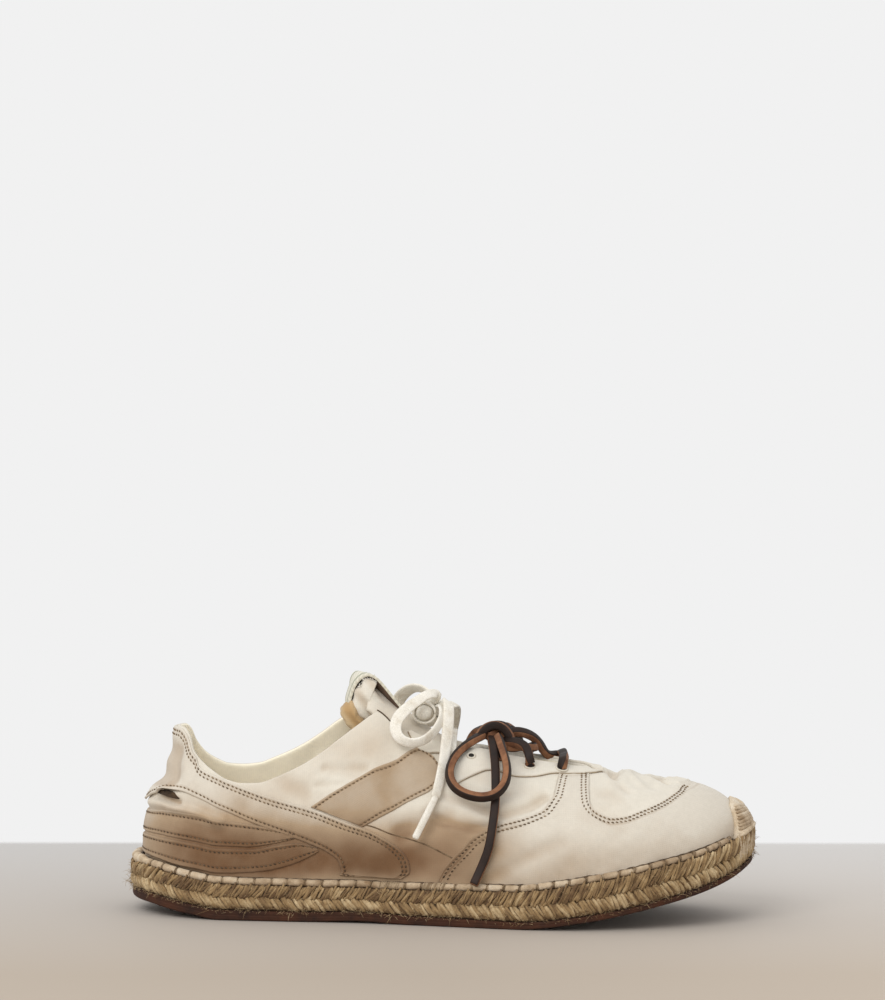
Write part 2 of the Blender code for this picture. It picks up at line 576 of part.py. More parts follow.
def jute_sole(jute):
    """Coiled braid: two rounded rows around its side with a valley between them."""
    def level(share):
        def height(s):
            low = along(SOLE, "rise", s) + along(SOLE, "rubber", s) + GAP
            return low + share * (sole_top(s) - GAP - low)
        return height
    profile = ((0.0, 1.5), (0.12, 0.3), (0.27, 0.0), (0.42, 0.4), (0.5, GROOVE), (0.58, 0.4),
               (0.75, 0.0), (0.9, 0.4), (1.0, 1.4))
    return plate("jute_sole", [(inset, level(share)) for share, inset in profile], jute)


def insole(canvas):
    """Board inside the upper, on the braid."""
    inset = FEATHER + WALL + 0.6
    lip = INSOLE - 0.8
    rings = [(inset, lambda s: sole_top(s) + 0.1), (inset, lambda s: sole_top(s) + lip),
             (inset + 1.0, lambda s: sole_top(s) + INSOLE)]
    return plate("insole", rings, canvas)


def rand_cord(jute):
    """Whipped cord in the corner between the upper and the sole, open at the toe bumper."""
    lateral, medial = inset_line(RAND_INSET)
    ends = 253.5
    lateral = lateral[lateral[:, 0] < ends]
    medial = medial[medial[:, 0] < ends]
    plan = np.concatenate([lateral[::-1], medial[1:]])
    z = sole_top(plan[:, 0]) + RAND_RADIUS + 0.05
    line = np.column_stack([plan, z])
    return cord("rand_cord", line[::18], RAND_RADIUS, jute, spacing=8.0, rounding=1)


def upper(canvas):
    """Hollow shell of one wall, open at the collar and the throat, and underneath."""
    back = np.linspace(0, THROAT_END, 31)
    front = np.linspace(THROAT_END, 1, 12)
    corner = station_turn([104.5, 110.0])
    turns = np.unique(np.concatenate([back, front, corner]))
    share = np.linspace(0, 1, 10)[None, :]
    grids = {}
    for side in (LATERAL, MEDIAL):
        girth = edge_girth(turns, side)[:, None] * share
        turn = turns[:, None] + 0 * girth
        grids[side] = [shell(turn, girth, side, 0 * turn), shell(turn, girth, side, -WALL + 0 * turn)]
    closed = turns >= THROAT_END - 1e-9
    for layer in (0, 1):
        middle = (grids[LATERAL][layer][closed, -1] + grids[MEDIAL][layer][closed, -1]) / 2
        grids[LATERAL][layer][closed, -1] = middle
        grids[MEDIAL][layer][closed, -1] = middle
        grids[LATERAL][layer][-1] = grids[MEDIAL][layer][-1]
        grids[LATERAL][layer][0] = grids[MEDIAL][layer][0]
    layers = [np.concatenate([grids[LATERAL][k], grids[MEDIAL][k][-2:0:-1]]) for k in (0, 1)]
    n, m = layers[0].shape[:2]
    half = len(turns)
    index = np.arange(2 * n * m).reshape(2, n, m)
    for k in range(half, n):
        twin = 2 * half - 2 - k
        if closed[twin]:
            index[:, k, -1] = index[:, twin, -1]
    faces = []
    for i in range(n):
        k = (i + 1) % n
        for j in range(m - 1):
            faces.append((index[0, i, j], index[0, k, j], index[0, k, j + 1], index[0, i, j + 1]))
            faces.append((index[1, i, j + 1], index[1, k, j + 1], index[1, k, j], index[1, i, j]))
        faces.append((index[1, i, 0], index[1, k, 0], index[0, k, 0], index[0, i, 0]))
        here = closed[i if i < half else 2 * half - 2 - i]
        there = closed[k if k < half else 2 * half - 2 - k]
        if not (here and there):
            faces.append((index[0, i, -1], index[0, k, -1], index[1, k, -1], index[1, i, -1]))
    used, faces = np.unique(np.array(faces), return_inverse=True)
    faces = [tuple(int(v) for v in face) for face in faces.reshape(-1, 4)]
    points = np.concatenate([layer.reshape(-1, 3) for layer in layers])[used]
    return solid("upper", points, faces, canvas)


def overlays(canvas, jute):
    def strap_flare(t, r):
        """The strap's lower edge stands off the heel as a loose flap."""
        return 3.8 * np.exp(-(t / 2.2)**2) * (1 - r)**1.5

    def bumper_foot(t, r):
        """The bumper spreads over the ledge of the sole."""
        return 1.5 * (1 - r)**1.5 + 0 * t

    overlay("heel_strap", HEEL_STRAP, canvas, flare=strap_flare)
    overlay("counter_upper", COUNTER_UPPER, canvas, across=4)
    overlay("counter_lower", COUNTER_LOWER, canvas, across=4)
    overlay("saddle_lateral", SADDLE, canvas, across=7, lift=0.4, sides=(LATERAL,))
    overlay("saddle_medial", SADDLE, canvas, across=7, lift=0.4, sides=(MEDIAL,))
    overlay("eyestay", EYESTAY, canvas, across=5)
    overlay("toe_guard", TOE_GUARD, canvas, across=9)
    lift = GAP + OVERLAY + GAP
    inner = patch(TOE_BUMPER, 5, lambda t, r: lift + 0 * t * r)
    outer = patch(TOE_BUMPER, 5, lambda t, r: lift + 1.9 + bumper_foot(t, r))
    for grid in (outer, inner):
        grid[..., 2] = np.maximum(grid[..., 2], sole_top(grid[..., 0]) + GAP / 2)
    slab("toe_bumper", outer, inner, jute)


def tongue_girth(station, across, side):
    """Girth at a share across the tongue, from its middle to its edge."""
    half = along(TONGUE_WIDTH, "half", station)
    return np.array([[girth_at_width(s, h * a, side) for a in across]
                     for s, h in zip(np.atleast_1d(station), np.atleast_1d(half))])


def tongue(canvas):
    """Padded strip under the throat, longer than the collar's corners."""
    stations = np.concatenate([np.arange(98, 112, 3.5), np.linspace(112, 207, 15)])
    across = np.linspace(0, 1, 6)
    grids = []
    for depth in (WALL + 2 * GAP, WALL + 2 * GAP + TONGUE):
        halves = []
        for side in (LATERAL, MEDIAL):
            girth = tongue_girth(stations, across, side)
            sweep = along(TONGUE_WIDTH, "sweep", stations)[:, None] * across**2
            turn = station_turn(stations[:, None] - sweep)
            halves.append(shell(turn, girth, side, -depth + 0 * turn))
        middle = (halves[0][:, 0] + halves[1][:, 0]) / 2
        halves[0][:, 0] = middle
        grids.append(np.concatenate([halves[0][:, ::-1], halves[1][:, 1:]], axis=1))
    return slab("tongue", grids[0], grids[1], canvas)


def tongue_loop(webbing):
    """Flat webbing bent over the tongue's end and sewn down on both faces."""
    width, thickness = WEBBING
    route = smooth_route(np.stack([LOOP_ROUTE["station"], LOOP_ROUTE["height"]], 1), 3.2)
    tangent = np.gradient(route, axis=0)
    tangent /= np.linalg.norm(tangent, axis=1)[:, None]
    out = np.stack([-tangent[:, 1], tangent[:, 0]], 1)
    across = np.array([-width / 2, width / 2]) + along(SECTION, "across", 104.0, "ridge")
    grids = []
    for lift in (thickness / 2, -thickness / 2):
        p = route + out * lift
        grids.append(np.stack([np.stack([p[:, 0], 0 * p[:, 0] + y, p[:, 1]], 1) for y in across], 1))
    return slab("tongue_loop", grids[0], grids[1], webbing)


def eyelet(station, side):
    """Centre of an eyelet on the eyestay's outside, and the direction out of it."""
    half = along(THROAT, "half", station) if station > 127 else 15.5
    girth = girth_at_width(station, float(half) + EYELET_INSET, side)
    turn = station_turn(station)
    return shell(turn, girth, side, GAP + OVERLAY), normal(turn, girth, side)


def lace_bar(name, station, radius, made_of):
    """Taut bar of lace from eyelet to eyelet, over the eyestay's edges and the tongue."""
    turn = station_turn(station)
    half = float(along(THROAT, "half", max(station, 127.0)))
    over = GAP + OVERLAY + radius + 0.5
    route = []
    for side in (LATERAL, MEDIAL):
        places = ((girth_at_width(station, half + EYELET_INSET, side), over),
                  (girth_at_width(station, half, side), over + 0.3), (1.0, over - 0.9))
        points = [shell(turn, girth, side, np.array(lift)) for girth, lift in places]
        route += points if side == LATERAL else points[1::-1]
    return tube_mesh(name, smooth_route(route, 4.5), radius, 6, made_of)


def laces(leather, cotton):
    """Two short laces: a leather thong in the lower eyelets and a tape in the top pair."""
    bars = [lace_bar("leather_lace_bars", EYELETS[0], THONG_RADIUS, leather),
            lace_bar("thong_bar_2", EYELETS[1], THONG_RADIUS, leather),
            lace_bar("thong_bar_3", EYELETS[2], THONG_RADIUS, leather)]
    near, near_out = eyelet(EYELETS[1], LATERAL)
    far, far_out = eyelet(EYELETS[0], MEDIAL)
    lift = THONG_RADIUS + 1.0
    near_run = [*THONG_RUN_NEAR, near + near_out * lift]
    far_run = [*THONG_RUN_FAR, far + far_out * lift]
    runs = [tube_mesh("thong_run_1", smooth_route(near_run, 4.5), THONG_RADIUS, 6, leather),
            tube_mesh("thong_run_2", smooth_route(far_run, 4.5), THONG_RADIUS, 6, leather)]
    join_solids(bars[0], *bars[1:], *runs)
    lump("leather_lace_knot", THONG_KNOT, leather)
    for name, route in (("loop", THONG_LOOP), ("end", THONG_END),
                        ("far_loop", THONG_FAR_LOOP), ("far_end", THONG_FAR_END)):
        cord("leather_lace_" + name, route, THONG_RADIUS, leather)
    lace_bar("tape_lace_bar", EYELETS[4], TAPE_RADIUS, cotton)
    lump("tape_lace_knot", TAPE_KNOT, cotton)
    for name, route in (("loop", TAPE_LOOP), ("end", TAPE_END),
                        ("far_loop", TAPE_FAR_LOOP), ("far_end", TAPE_FAR_END)):
        cord("tape_lace_" + name, route, TAPE_RADIUS, cotton)
    length, root, end = TIP
    for name, route in (("tape_lace_tip", TAPE_END), ("tape_lace_far_tip", TAPE_FAR_END)):
        start = np.array(route[-1])
        ahead = start - np.array(route[-2])
        ahead /= np.linalg.norm(ahead)
        ahead = ahead + np.array([-0.22, 0, -0.1])
        ahead /= np.linalg.norm(ahead)
        line = [start + ahead * (2 * GAP + share * length) for share in (0, 0.5, 1)]
        tube_mesh(name, line, [root, (root + end) / 2, end], 8, cotton)


def build():
    for old in list(bpy.data.objects):
        bpy.data.objects.remove(old)
    rubber = material("brown rubber", "#4A301F", 0.75)
    jute = material("jute braid", "#A58A62", 0.95)
    cream = material("cream canvas", "#DDD5C6", 0.9)
    sand = material("sand canvas", "#CFC3B1", 0.9)
    webbing = material("cotton webbing", "#CFCDC0", 0.9)
    leather = material("brown leather", "#5A3A2B", 0.55)
    cotton = material("white cotton tape", "#E8E3D6", 0.9)
    outsole(rubber)
    jute_sole(jute)
    insole(sand)
    rand_cord(jute)
    upper(cream)
    overlays(sand, jute)
    tongue(cream)
    tongue_loop(webbing)
    laces(leather, cotton)


build()
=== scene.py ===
"""Looks of a low canvas sneaker on a jute-braid sole: one right shoe, empty, on its tread.

Sizes are millimetres and places are written as the shoe's maker would: a station is the distance
forward from the heel end of the sole, the lateral side is -Y and the medial side +Y. The upper is
a fan of sections. Each starts on the feather line, where the upper meets the sole, and climbs to a
ridge along the middle of the shoe. Turn is 0 at the heel and 1 at the toe, and girth is 0 at the
feather line and 1 at the ridge. Every layer of canvas is laid on that one surface.
"""
import math

import bpy
import numpy as np
from mathutils import Matrix, Vector


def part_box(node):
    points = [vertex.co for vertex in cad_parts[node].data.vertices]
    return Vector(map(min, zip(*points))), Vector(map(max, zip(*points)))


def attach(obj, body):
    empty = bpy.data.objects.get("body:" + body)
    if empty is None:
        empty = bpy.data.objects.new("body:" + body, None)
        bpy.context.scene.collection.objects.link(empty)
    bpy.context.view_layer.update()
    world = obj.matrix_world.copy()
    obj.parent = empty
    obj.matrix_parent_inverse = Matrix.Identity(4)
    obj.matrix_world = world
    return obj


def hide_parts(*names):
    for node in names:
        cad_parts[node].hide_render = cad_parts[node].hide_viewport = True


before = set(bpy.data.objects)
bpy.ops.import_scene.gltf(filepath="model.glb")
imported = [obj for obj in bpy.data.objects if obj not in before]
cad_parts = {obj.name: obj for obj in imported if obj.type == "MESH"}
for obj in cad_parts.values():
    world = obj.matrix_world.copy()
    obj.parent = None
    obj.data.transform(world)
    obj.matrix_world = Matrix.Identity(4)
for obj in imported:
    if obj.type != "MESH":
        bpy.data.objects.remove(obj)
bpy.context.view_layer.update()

BODY = "root"
MM = 0.001
LATERAL, MEDIAL = -1, 1
SIDES = {LATERAL: "lateral", MEDIAL: "medial"}
UPWARDS, ACROSS = (0, 0, 1), (0, 1, 0)
SOLE_LOW, SOLE_HIGH = (np.array(corner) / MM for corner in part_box("jute_sole"))
HEEL_X = SOLE_LOW[0]
SOLE_LENGTH = SOLE_HIGH[0] - SOLE_LOW[0]
RANDOM = np.random.default_rng(7)

GAP = 0.3                  # between pieces that meet
WALL = 2                   # canvas and lining together
OVERLAY = 1.3              # canvas overlays sewn onto the upper
TOE_APEX = 5               # the toe's foremost point lies this far to the medial side
HEEL_INSET = 6.4           # from the rim of the sole to the feather line
SIDE_INSET = 5.2
TOE_INSET = 5.4
RAND_RADIUS = 1.7
RAND_INSET = 3.1
INSOLE = 3
TONGUE = 2.4
WEBBING = (10, 1.8)        # width and thickness of the pull loop
TAPE = (4.9, 1.4)          # width and thickness of the white lace
THONG = (3.7, 3.3)         # width of the leather lace's grain faces and of its raw edges
EYESTAY_TOP = 1.2          # the eyestay's face over the upper
STITCH = 1.90              # pitch of the machine stitches
THREAD = 0.30              # radius of their thread
WHIP = 7.1                 # pitch of the hand stitches that bind the rand
CLIMB = 80                 # about the length of a section from foot to ridge
BANDS = 0.314159           # wave texture's scale for bands 1 mm apart on a map in millimetres
WEAVE = 0.9                # the weave as drawn
DENT = 0.0003              # depth in metres that dents in cloth and fibre are drawn to


def table(columns, *rows):
    """A table as a dictionary of columns."""
    return dict(zip(columns.split(), np.array(rows, float).T))


RIM = table(
    "station lateral medial",
    (3.5, 14, 14), (13, 24.5, 24.5), (30, 31.5, 31.5), (55, 34, 33), (85, 35, 31.5), (115, 38, 33.5),
    (145, 43.5, 38.5), (172, 48, 45), (195, 48.5, 48.5), (217, 44.5, 46.8), (237, 36.5, 40.5), (252, 26, 31.5),
    (262.5, 12, 20.5))

# rise of the tread above the floor, the sole's whole height and the rubber's share of it
SOLE = table(
    "station rise height rubber",
    (0, 6.2, 15, 4.4), (9, 5.2, 15.4, 4.4), (19, 3.2, 15.4, 4.4), (29, 1.5, 15.4, 4.4), (38, 0, 15.3, 4.4),
    (74, 0, 15, 4.3), (97, 0.9, 14.2, 4), (122, 0, 14.9, 3.8), (166, 0, 15.9, 3.2), (174, 0.7, 16.1, 3),
    (191, 3.1, 16.5, 2.8), (208, 6.2, 16.5, 2.6), (225, 10, 16.3, 2.5), (242, 14.4, 15.9, 2.5),
    (256, 19.3, 15.5, 2.5), (267, 25, 15, 2.5))

# where the section that starts at a foot station meets the ridge line
SPINE = table(
    "foot ridge",
    (6, 34), (20, 39.5), (40, 50), (60, 63.5), (82, 82), (200, 200), (222, 214.5), (245, 224), (262, 228))

# the ridge's height and sideways place, then the handles of the section's curve: swell and low
# at the foot, inward and high at the ridge, for each side
SECTION = table(
    "ridge height across swell low lateral_in lateral_high medial_in medial_high",
    (34, 112, 0, 4, 0.28, 0.44, 0.58, 0.44, 0.58), (60, 113, 0, 5, 0.30, 0.30, 0.55, 0.30, 0.55),
    (82, 110, 0, 4.5, 0.30, 0.22, 0.68, 0.22, 0.68), (96, 105.5, 0.3, 4.2, 0.31, 0.16, 0.80, 0.16, 0.80),
    (104, 101, 0.5, 4, 0.32, 0.14, 0.88, 0.14, 0.88), (111, 95, 0.8, 3.8, 0.33, 0.16, 0.90, 0.15, 0.90),
    (118, 89.5, 1, 3.5, 0.35, 0.20, 0.94, 0.18, 0.94), (128, 82.5, 1.5, 3.2, 0.37, 0.24, 0.97, 0.20, 0.97),
    (138, 77, 1.5, 3, 0.38, 0.20, 0.98, 0.22, 0.98), (150, 74.5, 2, 3, 0.40, 0.20, 1.00, 0.24, 1.00),
    (170, 69.7, 2.5, 3, 0.45, 0.32, 1.00, 0.28, 1.00), (185, 66, 2.5, 3, 0.50, 0.34, 1.00, 0.30, 1.00),
    (203, 62, 3, 3, 0.50, 0.36, 1.00, 0.32, 1.00), (218, 60.3, 3, 2, 0.48, 0.36, 0.98, 0.34, 0.98),
    (228, 59.2, 3, 1, 0.45, 0.35, 0.95, 0.35, 0.95))

# height of the top line, then half the width of the throat in front of it
COLLAR = table(
    "station lateral medial",
    (18, 79.5, 79.5), (22.5, 79.2, 79.2), (24.5, 77, 77.5), (27.3, 69.8, 71), (31, 65.6, 66.2), (35.5, 62.3, 63.2),
    (41, 59.3, 61), (47.5, 58, 60.5), (54, 58.2, 61.2), (61.5, 60.8, 64.2), (72, 65.8, 69.8), (80.5, 71.1, 75.3),
    (89, 77.7, 82), (96, 83.1, 86.6), (101, 86.8, 89), (104.5, 88.6, 89.8), (107, 87.3, 88.2), (111, 83.6, 84.4))
THROAT = table(
    "station half",
    (127, 15.5), (136, 14.3), (150, 13), (165, 12), (178, 10.5), (188, 8), (195, 5), (199.5, 2.2), (201.5, 0))

# Overlays lie between a lower and an upper rail, each point a foot station and a girth. The rows
# run forward from the heel's middle, or back from the toe's middle, on both sides alike.
RAILS = "low_station low_girth high_station high_girth"
HEEL_STRAP = table(
    RAILS,
    (6.4, 32.5, 6.4, 76.8), (9, 37.5, 12, 77.2), (13, 41, 17.6, 75.5), (19.4, 41.8, 20.6, 63.5),
    (27.2, 40.2, 25.4, 54), (39, 36.4, 36.4, 50.8), (52.4, 30.6, 51, 45.8), (64, 25.9, 65.6, 40.8),
    (76, 20.8, 79.6, 35.4), (84, 16.8, 93.6, 28.9), (89, 12.4, 105, 24.6), (90.4, 7.4, 114, 20.5),
    (89.5, 6, 119, 14), (94, 5.6, 119.6, 9.5), (104, 5.6, 116.5, 5.8))
COUNTER_UPPER = table(
    RAILS,
    (6.4, 17, 6.4, 28.2), (9, 17.8, 9, 29.6), (13.5, 18.5, 13, 30.9), (19.5, 18.9, 19.4, 31.8),
    (27, 19.1, 27.2, 32.1), (39, 18.9, 39, 31.4), (50, 18.7, 52, 29.9), (60.5, 20.6, 62.5, 27.8),
    (70, 23.2, 71.5, 24.6))
COUNTER_LOWER = table(
    RAILS,
    (6.4, 5.8, 6.4, 15.4), (13.3, 5.8, 13.5, 17), (20, 5.6, 20, 17.7), (28.7, 5.5, 28, 17.9), (41.7, 5.5, 40, 17.6),
    (57, 6.8, 51.5, 17.5), (68, 10, 62, 19.8), (75.5, 13.8, 71, 20.8), (80.8, 17.2, 79.6, 18.8))
SADDLE = table(
    RAILS,
    (99.4, 27.3, 76.9, 37.2), (104.5, 30.2, 84.5, 41.8), (110.5, 34.8, 93.5, 46), (117, 39.8, 103.3, 50.7),
    (123, 44.7, 113, 58.7), (127.2, 48.6, 123, 69.6), (129.4, 52.4, 127.6, 68.6), (130.8, 57, 130.4, 65.6))
EYESTAY = table(
    RAILS,
    (202.6, 98, 201.6, 100), (201.2, 92.6, 199.6, 100), (197.4, 87.4, 196, 100), (190, 81.9, 188.8, 100),
    (184, 79, 182.6, 100), (178.3, 76.5, 177.2, 100), (172.6, 72, 171.6, 100), (167.8, 69.3, 167.2, 100),
    (160.9, 67.5, 160.6, 100), (154.2, 69, 154, 100), (150.8, 68.1, 150.6, 100), (146, 64.2, 145.8, 100),
    (140.8, 59.7, 141, 100), (137.6, 57, 138.2, 100), (134.9, 65.5, 135.6, 100), (132.1, 73, 133.2, 100),
    (128.4, 70.4, 130, 100), (125.6, 68.2, 127.4, 100), (122.6, 67.8, 124.6, 100), (121, 68.7, 122.4, 100),
    (117.5, 75, 118.4, 100))
TOE_GUARD = table(
    RAILS,
    (262.4, 2, 262.4, 85), (257.5, 2, 257.5, 82.5), (249.5, 2, 248.2, 77.7), (244, 2, 242.5, 71.5),
    (238.5, 2, 237.1, 66.3), (230.5, 2, 229.6, 58.8), (222, 2, 221.2, 52.2), (216.5, 2, 216.4, 49.2),
    (210.5, 2, 210.7, 45.9), (205, 2, 205, 45), (201.5, 2, 201.1, 47.1), (198.5, 2, 196.9, 51.3),
    (196.8, 2, 195.3, 55.5), (195.8, 2, 194.8, 61.2), (194.8, 2, 194.4, 71.4), (194, 2, 194, 85.5),
    (183.4, 2, 180.6, 78.5), (182.4, 2, 179.6, 66.9), (181.4, 2, 178.8, 58.2), (180, 2, 177.4, 54),
    (176.5, 2, 174.7, 47.7), (170, 2, 169, 43.5), (162.5, 2, 161.8, 39.9), (157, 2, 156.1, 37.5),
    (151.5, 2, 150.7, 33.9), (146, 2, 144.7, 28.2), (143, 2, 142, 24), (139.5, 2, 137.5, 18.3),
    (136.5, 2, 133.6, 11.7), (134.5, 2, 131.5, 5.4))
TOE_BUMPER = table(
    RAILS,
    (262.4, 0, 262.4, 46), (261.6, 0, 261.6, 45), (260, 0, 260.2, 41), (258.4, 0, 258.8, 32), (257.2, 0, 257.6, 18),
    (256.6, 0, 256.8, 6))

# the tongue's half width, and how far its upper end is swept back at the sides
TONGUE_WIDTH = table(
    "station half sweep",
    (103, 14.5, 3), (112, 17, 1.5), (130, 18.5, 0), (165, 17.5, 0), (190, 15, 0), (203, 12, 0))

# the pull loop from under the tongue, over its end and down its face
LOOP_ROUTE = table(
    "station height",
    (106, 83.6), (100, 84), (95.4, 85.6), (92.8, 89.2), (93.4, 94.2), (95, 98.4), (97.4, 101.3), (100.2, 102.6),
    (103.2, 101.6), (106.4, 98.6), (109.8, 94.6), (113.4, 90.4), (117, 86.4))

# eyelet stations, from the toe back: three carry the leather lace, one is bare, one the tape
EYELETS = (181.2, 167.4, 155, 143.6, 134.6)
EYELET_INSET = 6.2         # from the throat's edge to an eyelet

# the middle of each knot
THONG_KNOT, TAPE_KNOT = (155.3, -0.8, 78.6), (130.6, 0.2, 87.4)

# routes of the laces, each from the knot outwards: (station, across, height)

THONG_RUN_NEAR = ((157.5, -6, 74.6), (163.3, -9.5, 75.4), (168, -13, 73.6), (169.6, -16.6, 69.8))
THONG_RUN_FAR = ((157.5, 5, 75.6), (162, 7, 77.6), (168, 8.5, 77), (173.8, 11.5, 72.6), (178.6, 15, 66.8))
THONG_LOOP = ((149.7, -7, 78), (145.6, -12.5, 76.4), (140.4, -19, 73.2), (136.9, -25.2, 69.2), (135.6, -30, 64.8),
              (136.7, -34, 60.9), (139.9, -37.3, 58), (144.6, -39.4, 56.3), (150, -40.4, 55.8), (155, -40.2, 57.2),
              (158.6, -38.2, 60.6), (160, -34.4, 65.4), (159.4, -28.5, 70.2), (157.8, -20.5, 74.2),
              (156.8, -13.8, 76.6), (156.2, -9.3, 77.6))
THONG_END = ((153.4, -8.4, 76.6), (153.8, -13.5, 75.4), (154.4, -20.2, 72.4), (155, -27, 67.4), (155.3, -32.4, 60.6),
             (155.2, -37, 52.8), (154.2, -40.8, 43.6), (152.4, -42.8, 33.4), (149.4, -43.4, 25.2), (146.6, -45.4, 19))
THONG_FAR_LOOP = ((150.9, 5.7, 78.4), (149.6, 13, 77.8), (147, 21.5, 75.6), (144.2, 28.8, 69.6), (143.2, 33, 62.6),
                  (144, 36.2, 57.4), (149, 38.4, 53.8), (154.5, 39.2, 54.2), (158.6, 38.2, 59), (160, 34.6, 65.4),
                  (158.8, 27.4, 71.4), (156.8, 18, 75.6), (155.2, 11.5, 77), (154.6, 7.3, 77.6))
THONG_FAR_END = ((158.5, 7.4, 79.2), (160.4, 13.6, 78.8), (163.5, 20.5, 75.6), (165.5, 28, 70.2),
                 (166.8, 34.6, 61.5), (167.2, 39.6, 49.5), (166, 42.6, 37.5), (163.4, 44.4, 28))
TAPE_LOOP = ((127.6, -4.2, 91), (129.8, -7, 95), (127.2, -10.5, 95.8), (121.5, -15, 93.2), (115.4, -19.8, 88.8),
             (112.4, -23.8, 83.4), (114.2, -26.7, 78.8), (119.6, -27.4, 76.8), (125.4, -25.8, 78.4),
             (129.8, -21.6, 82.4), (132.2, -15.2, 87.2), (131.8, -8.6, 90.2), (130.4, -4.6, 90.4))
TAPE_END = ((133.2, -5, 90.6), (134.4, -9.2, 92.2), (134.9, -13.4, 88.8), (134.7, -17.5, 83), (134.1, -21.5, 76.3),
            (133.1, -25.5, 69.1), (131.7, -29.5, 61.8), (129.7, -33.4, 54.2))
TAPE_FAR_LOOP = ((127.8, 5.4, 89.6), (125.4, 8.6, 94), (120.6, 12.6, 95.4), (115, 18.4, 91.6), (112.6, 23.4, 85.8),
                 (115.2, 26.8, 80.2), (121, 27.6, 77.8), (127.4, 25, 79.4), (131.6, 19, 83.2), (132.8, 12.4, 87),
                 (132.2, 6.7, 89))
TAPE_FAR_END = ((135.6, 4.9, 89), (137.4, 10, 88.8), (138, 16.5, 85.4), (137.2, 23.5, 78.8), (135.4, 28.8, 70.2),
                (133.2, 32, 61))

# ---------------------------------------------------------------- curves through the tables

def slopes(x, y):
    """Slopes at the points, by the harmonic mean, so that the curve never overshoots."""
    h = np.diff(x)
    d = np.diff(y) / h
    same = d[:-1] * d[1:] > 0
    before, after = (np.where(same, v, 1) for v in (d[:-1], d[1:]))
    w1, w2 = 2 * h[1:] + h[:-1], h[1:] + 2 * h[:-1]
    return np.concatenate([d[:1], np.where(same, (w1 + w2) / (w1 / before + w2 / after), 0), d[-1:]])


def cubic(t, h, start, end, leaving, arriving):
    """Cubic from start to end at shares t of a span h, with its slopes at both ends."""
    return ((2 * t**3 - 3 * t**2 + 1) * start + (t**3 - 2 * t**2 + t) * h * leaving
            + (3 * t**2 - 2 * t**3) * end + (t**3 - t**2) * h * arriving)


def along(rows, column, at, key="station"):
    """The column's value at a station, by a smooth cubic through the rows."""
    x, y = rows[key], rows[column]
    m = slopes(x, y)
    at = np.asarray(at, float)
    i = np.clip(np.searchsorted(x, at) - 1, 0, len(x) - 2)
    h = (x[1:] - x[:-1])[i]
    return cubic(np.clip((at - x[i]) / h, 0, 1), h, y[i], y[i + 1], m[i], m[i + 1])


def distances(path):
    """Distance along a path to each of its points."""
    return np.concatenate([[0], np.cumsum(np.linalg.norm(np.diff(path, axis=0), axis=1))])


def smooth_route(points, spacing, closed=False):
    """Points about a spacing apart on a natural cubic spline through the route's points."""
    p = np.array(points, float)
    n = len(p)
    at = distances(np.concatenate([p, p[:1]]) if closed else p)
    h = np.diff(at)
    a, b = np.zeros((n, n)), np.zeros(p.shape)
    for i in range(n):
        for span in (i - 1, i):
            if closed or 0 <= span < n - 1:
                a[i, (2 * span + 1 - i) % n] += 1 / h[span]
                a[i, i] += 2 / h[span]
                b[i] += 3 * (p[(span + 1) % n] - p[span]) / h[span]**2
    m = np.linalg.solve(a, b)
    count = max(2, round(at[-1] / spacing) + (0 if closed else 1))
    q = np.linspace(0, at[-1], count, endpoint=not closed)
    i = np.clip(np.searchsorted(at, q, side="right") - 1, 0, len(h) - 1)
    j = (i + 1) % n
    return cubic(((q - at[i]) / h[i])[:, None], h[i][:, None], p[i], p[j], m[i], m[j])


# ---------------------------------------------------------------- the sole's outline

def unit(v):
    """Vectors made one long."""
    return v / np.maximum(np.linalg.norm(v, axis=-1, keepdims=True), 1e-9)


# heel to toe along the lateral side and back along the medial one
OUTLINE = smooth_route([(0, 0), *zip(RIM["station"], -RIM["lateral"]), (SOLE_LENGTH, TOE_APEX),
                        *[*zip(RIM["station"], RIM["medial"])][::-1]], 0.2, closed=True)
TANGENT = unit(np.roll(OUTLINE, -1, 0) - np.roll(OUTLINE, 1, 0))
INWARD = np.stack([-TANGENT[:, 1], TANGENT[:, 0]], 1)
FEATHER = np.interp(OUTLINE[:, 0], [0, 40, 220, SOLE_LENGTH],
                    [HEEL_INSET, SIDE_INSET, SIDE_INSET, TOE_INSET])


def inset_line(inset):
    """The outline moved inwards, as its lateral and its medial half, heel to toe."""
    p = OUTLINE + INWARD * np.broadcast_to(inset, len(OUTLINE))[:, None]
    p = np.roll(p, -np.argmin(p[:, 0]), 0)
    toe = np.argmax(p[:, 0])
    return p[:toe + 1], np.concatenate([p[toe:], p[:1]])[::-1]


FOOT_LINE = dict(zip((LATERAL, MEDIAL), inset_line(FEATHER)))
FOOT_START, FOOT_END = FOOT_LINE[LATERAL][[0, -1], 0]


def turn_station(turn, start=FOOT_START, end=FOOT_END):
    """Station at a turn from 0 at the heel to 1 at the toe, with the ends taken slowly."""
    return start + (end - start) * (1 - np.cos(np.pi * np.asarray(turn, float))) / 2


def station_turn(station):
    """Turn at a foot station."""
    share = (np.asarray(station, float) - FOOT_START) / (FOOT_END - FOOT_START)
    return np.arccos(np.clip(1 - 2 * share, -1, 1)) / np.pi


def sole_top(station):
    """Height of the sole's top above the floor."""
    return along(SOLE, "rise", station) + along(SOLE, "height", station)


# ---------------------------------------------------------------- the upper's surface

def grids(*values):
    """Numbers as arrays of one shape."""
    return np.broadcast_arrays(*(np.asarray(v, float) for v in values))


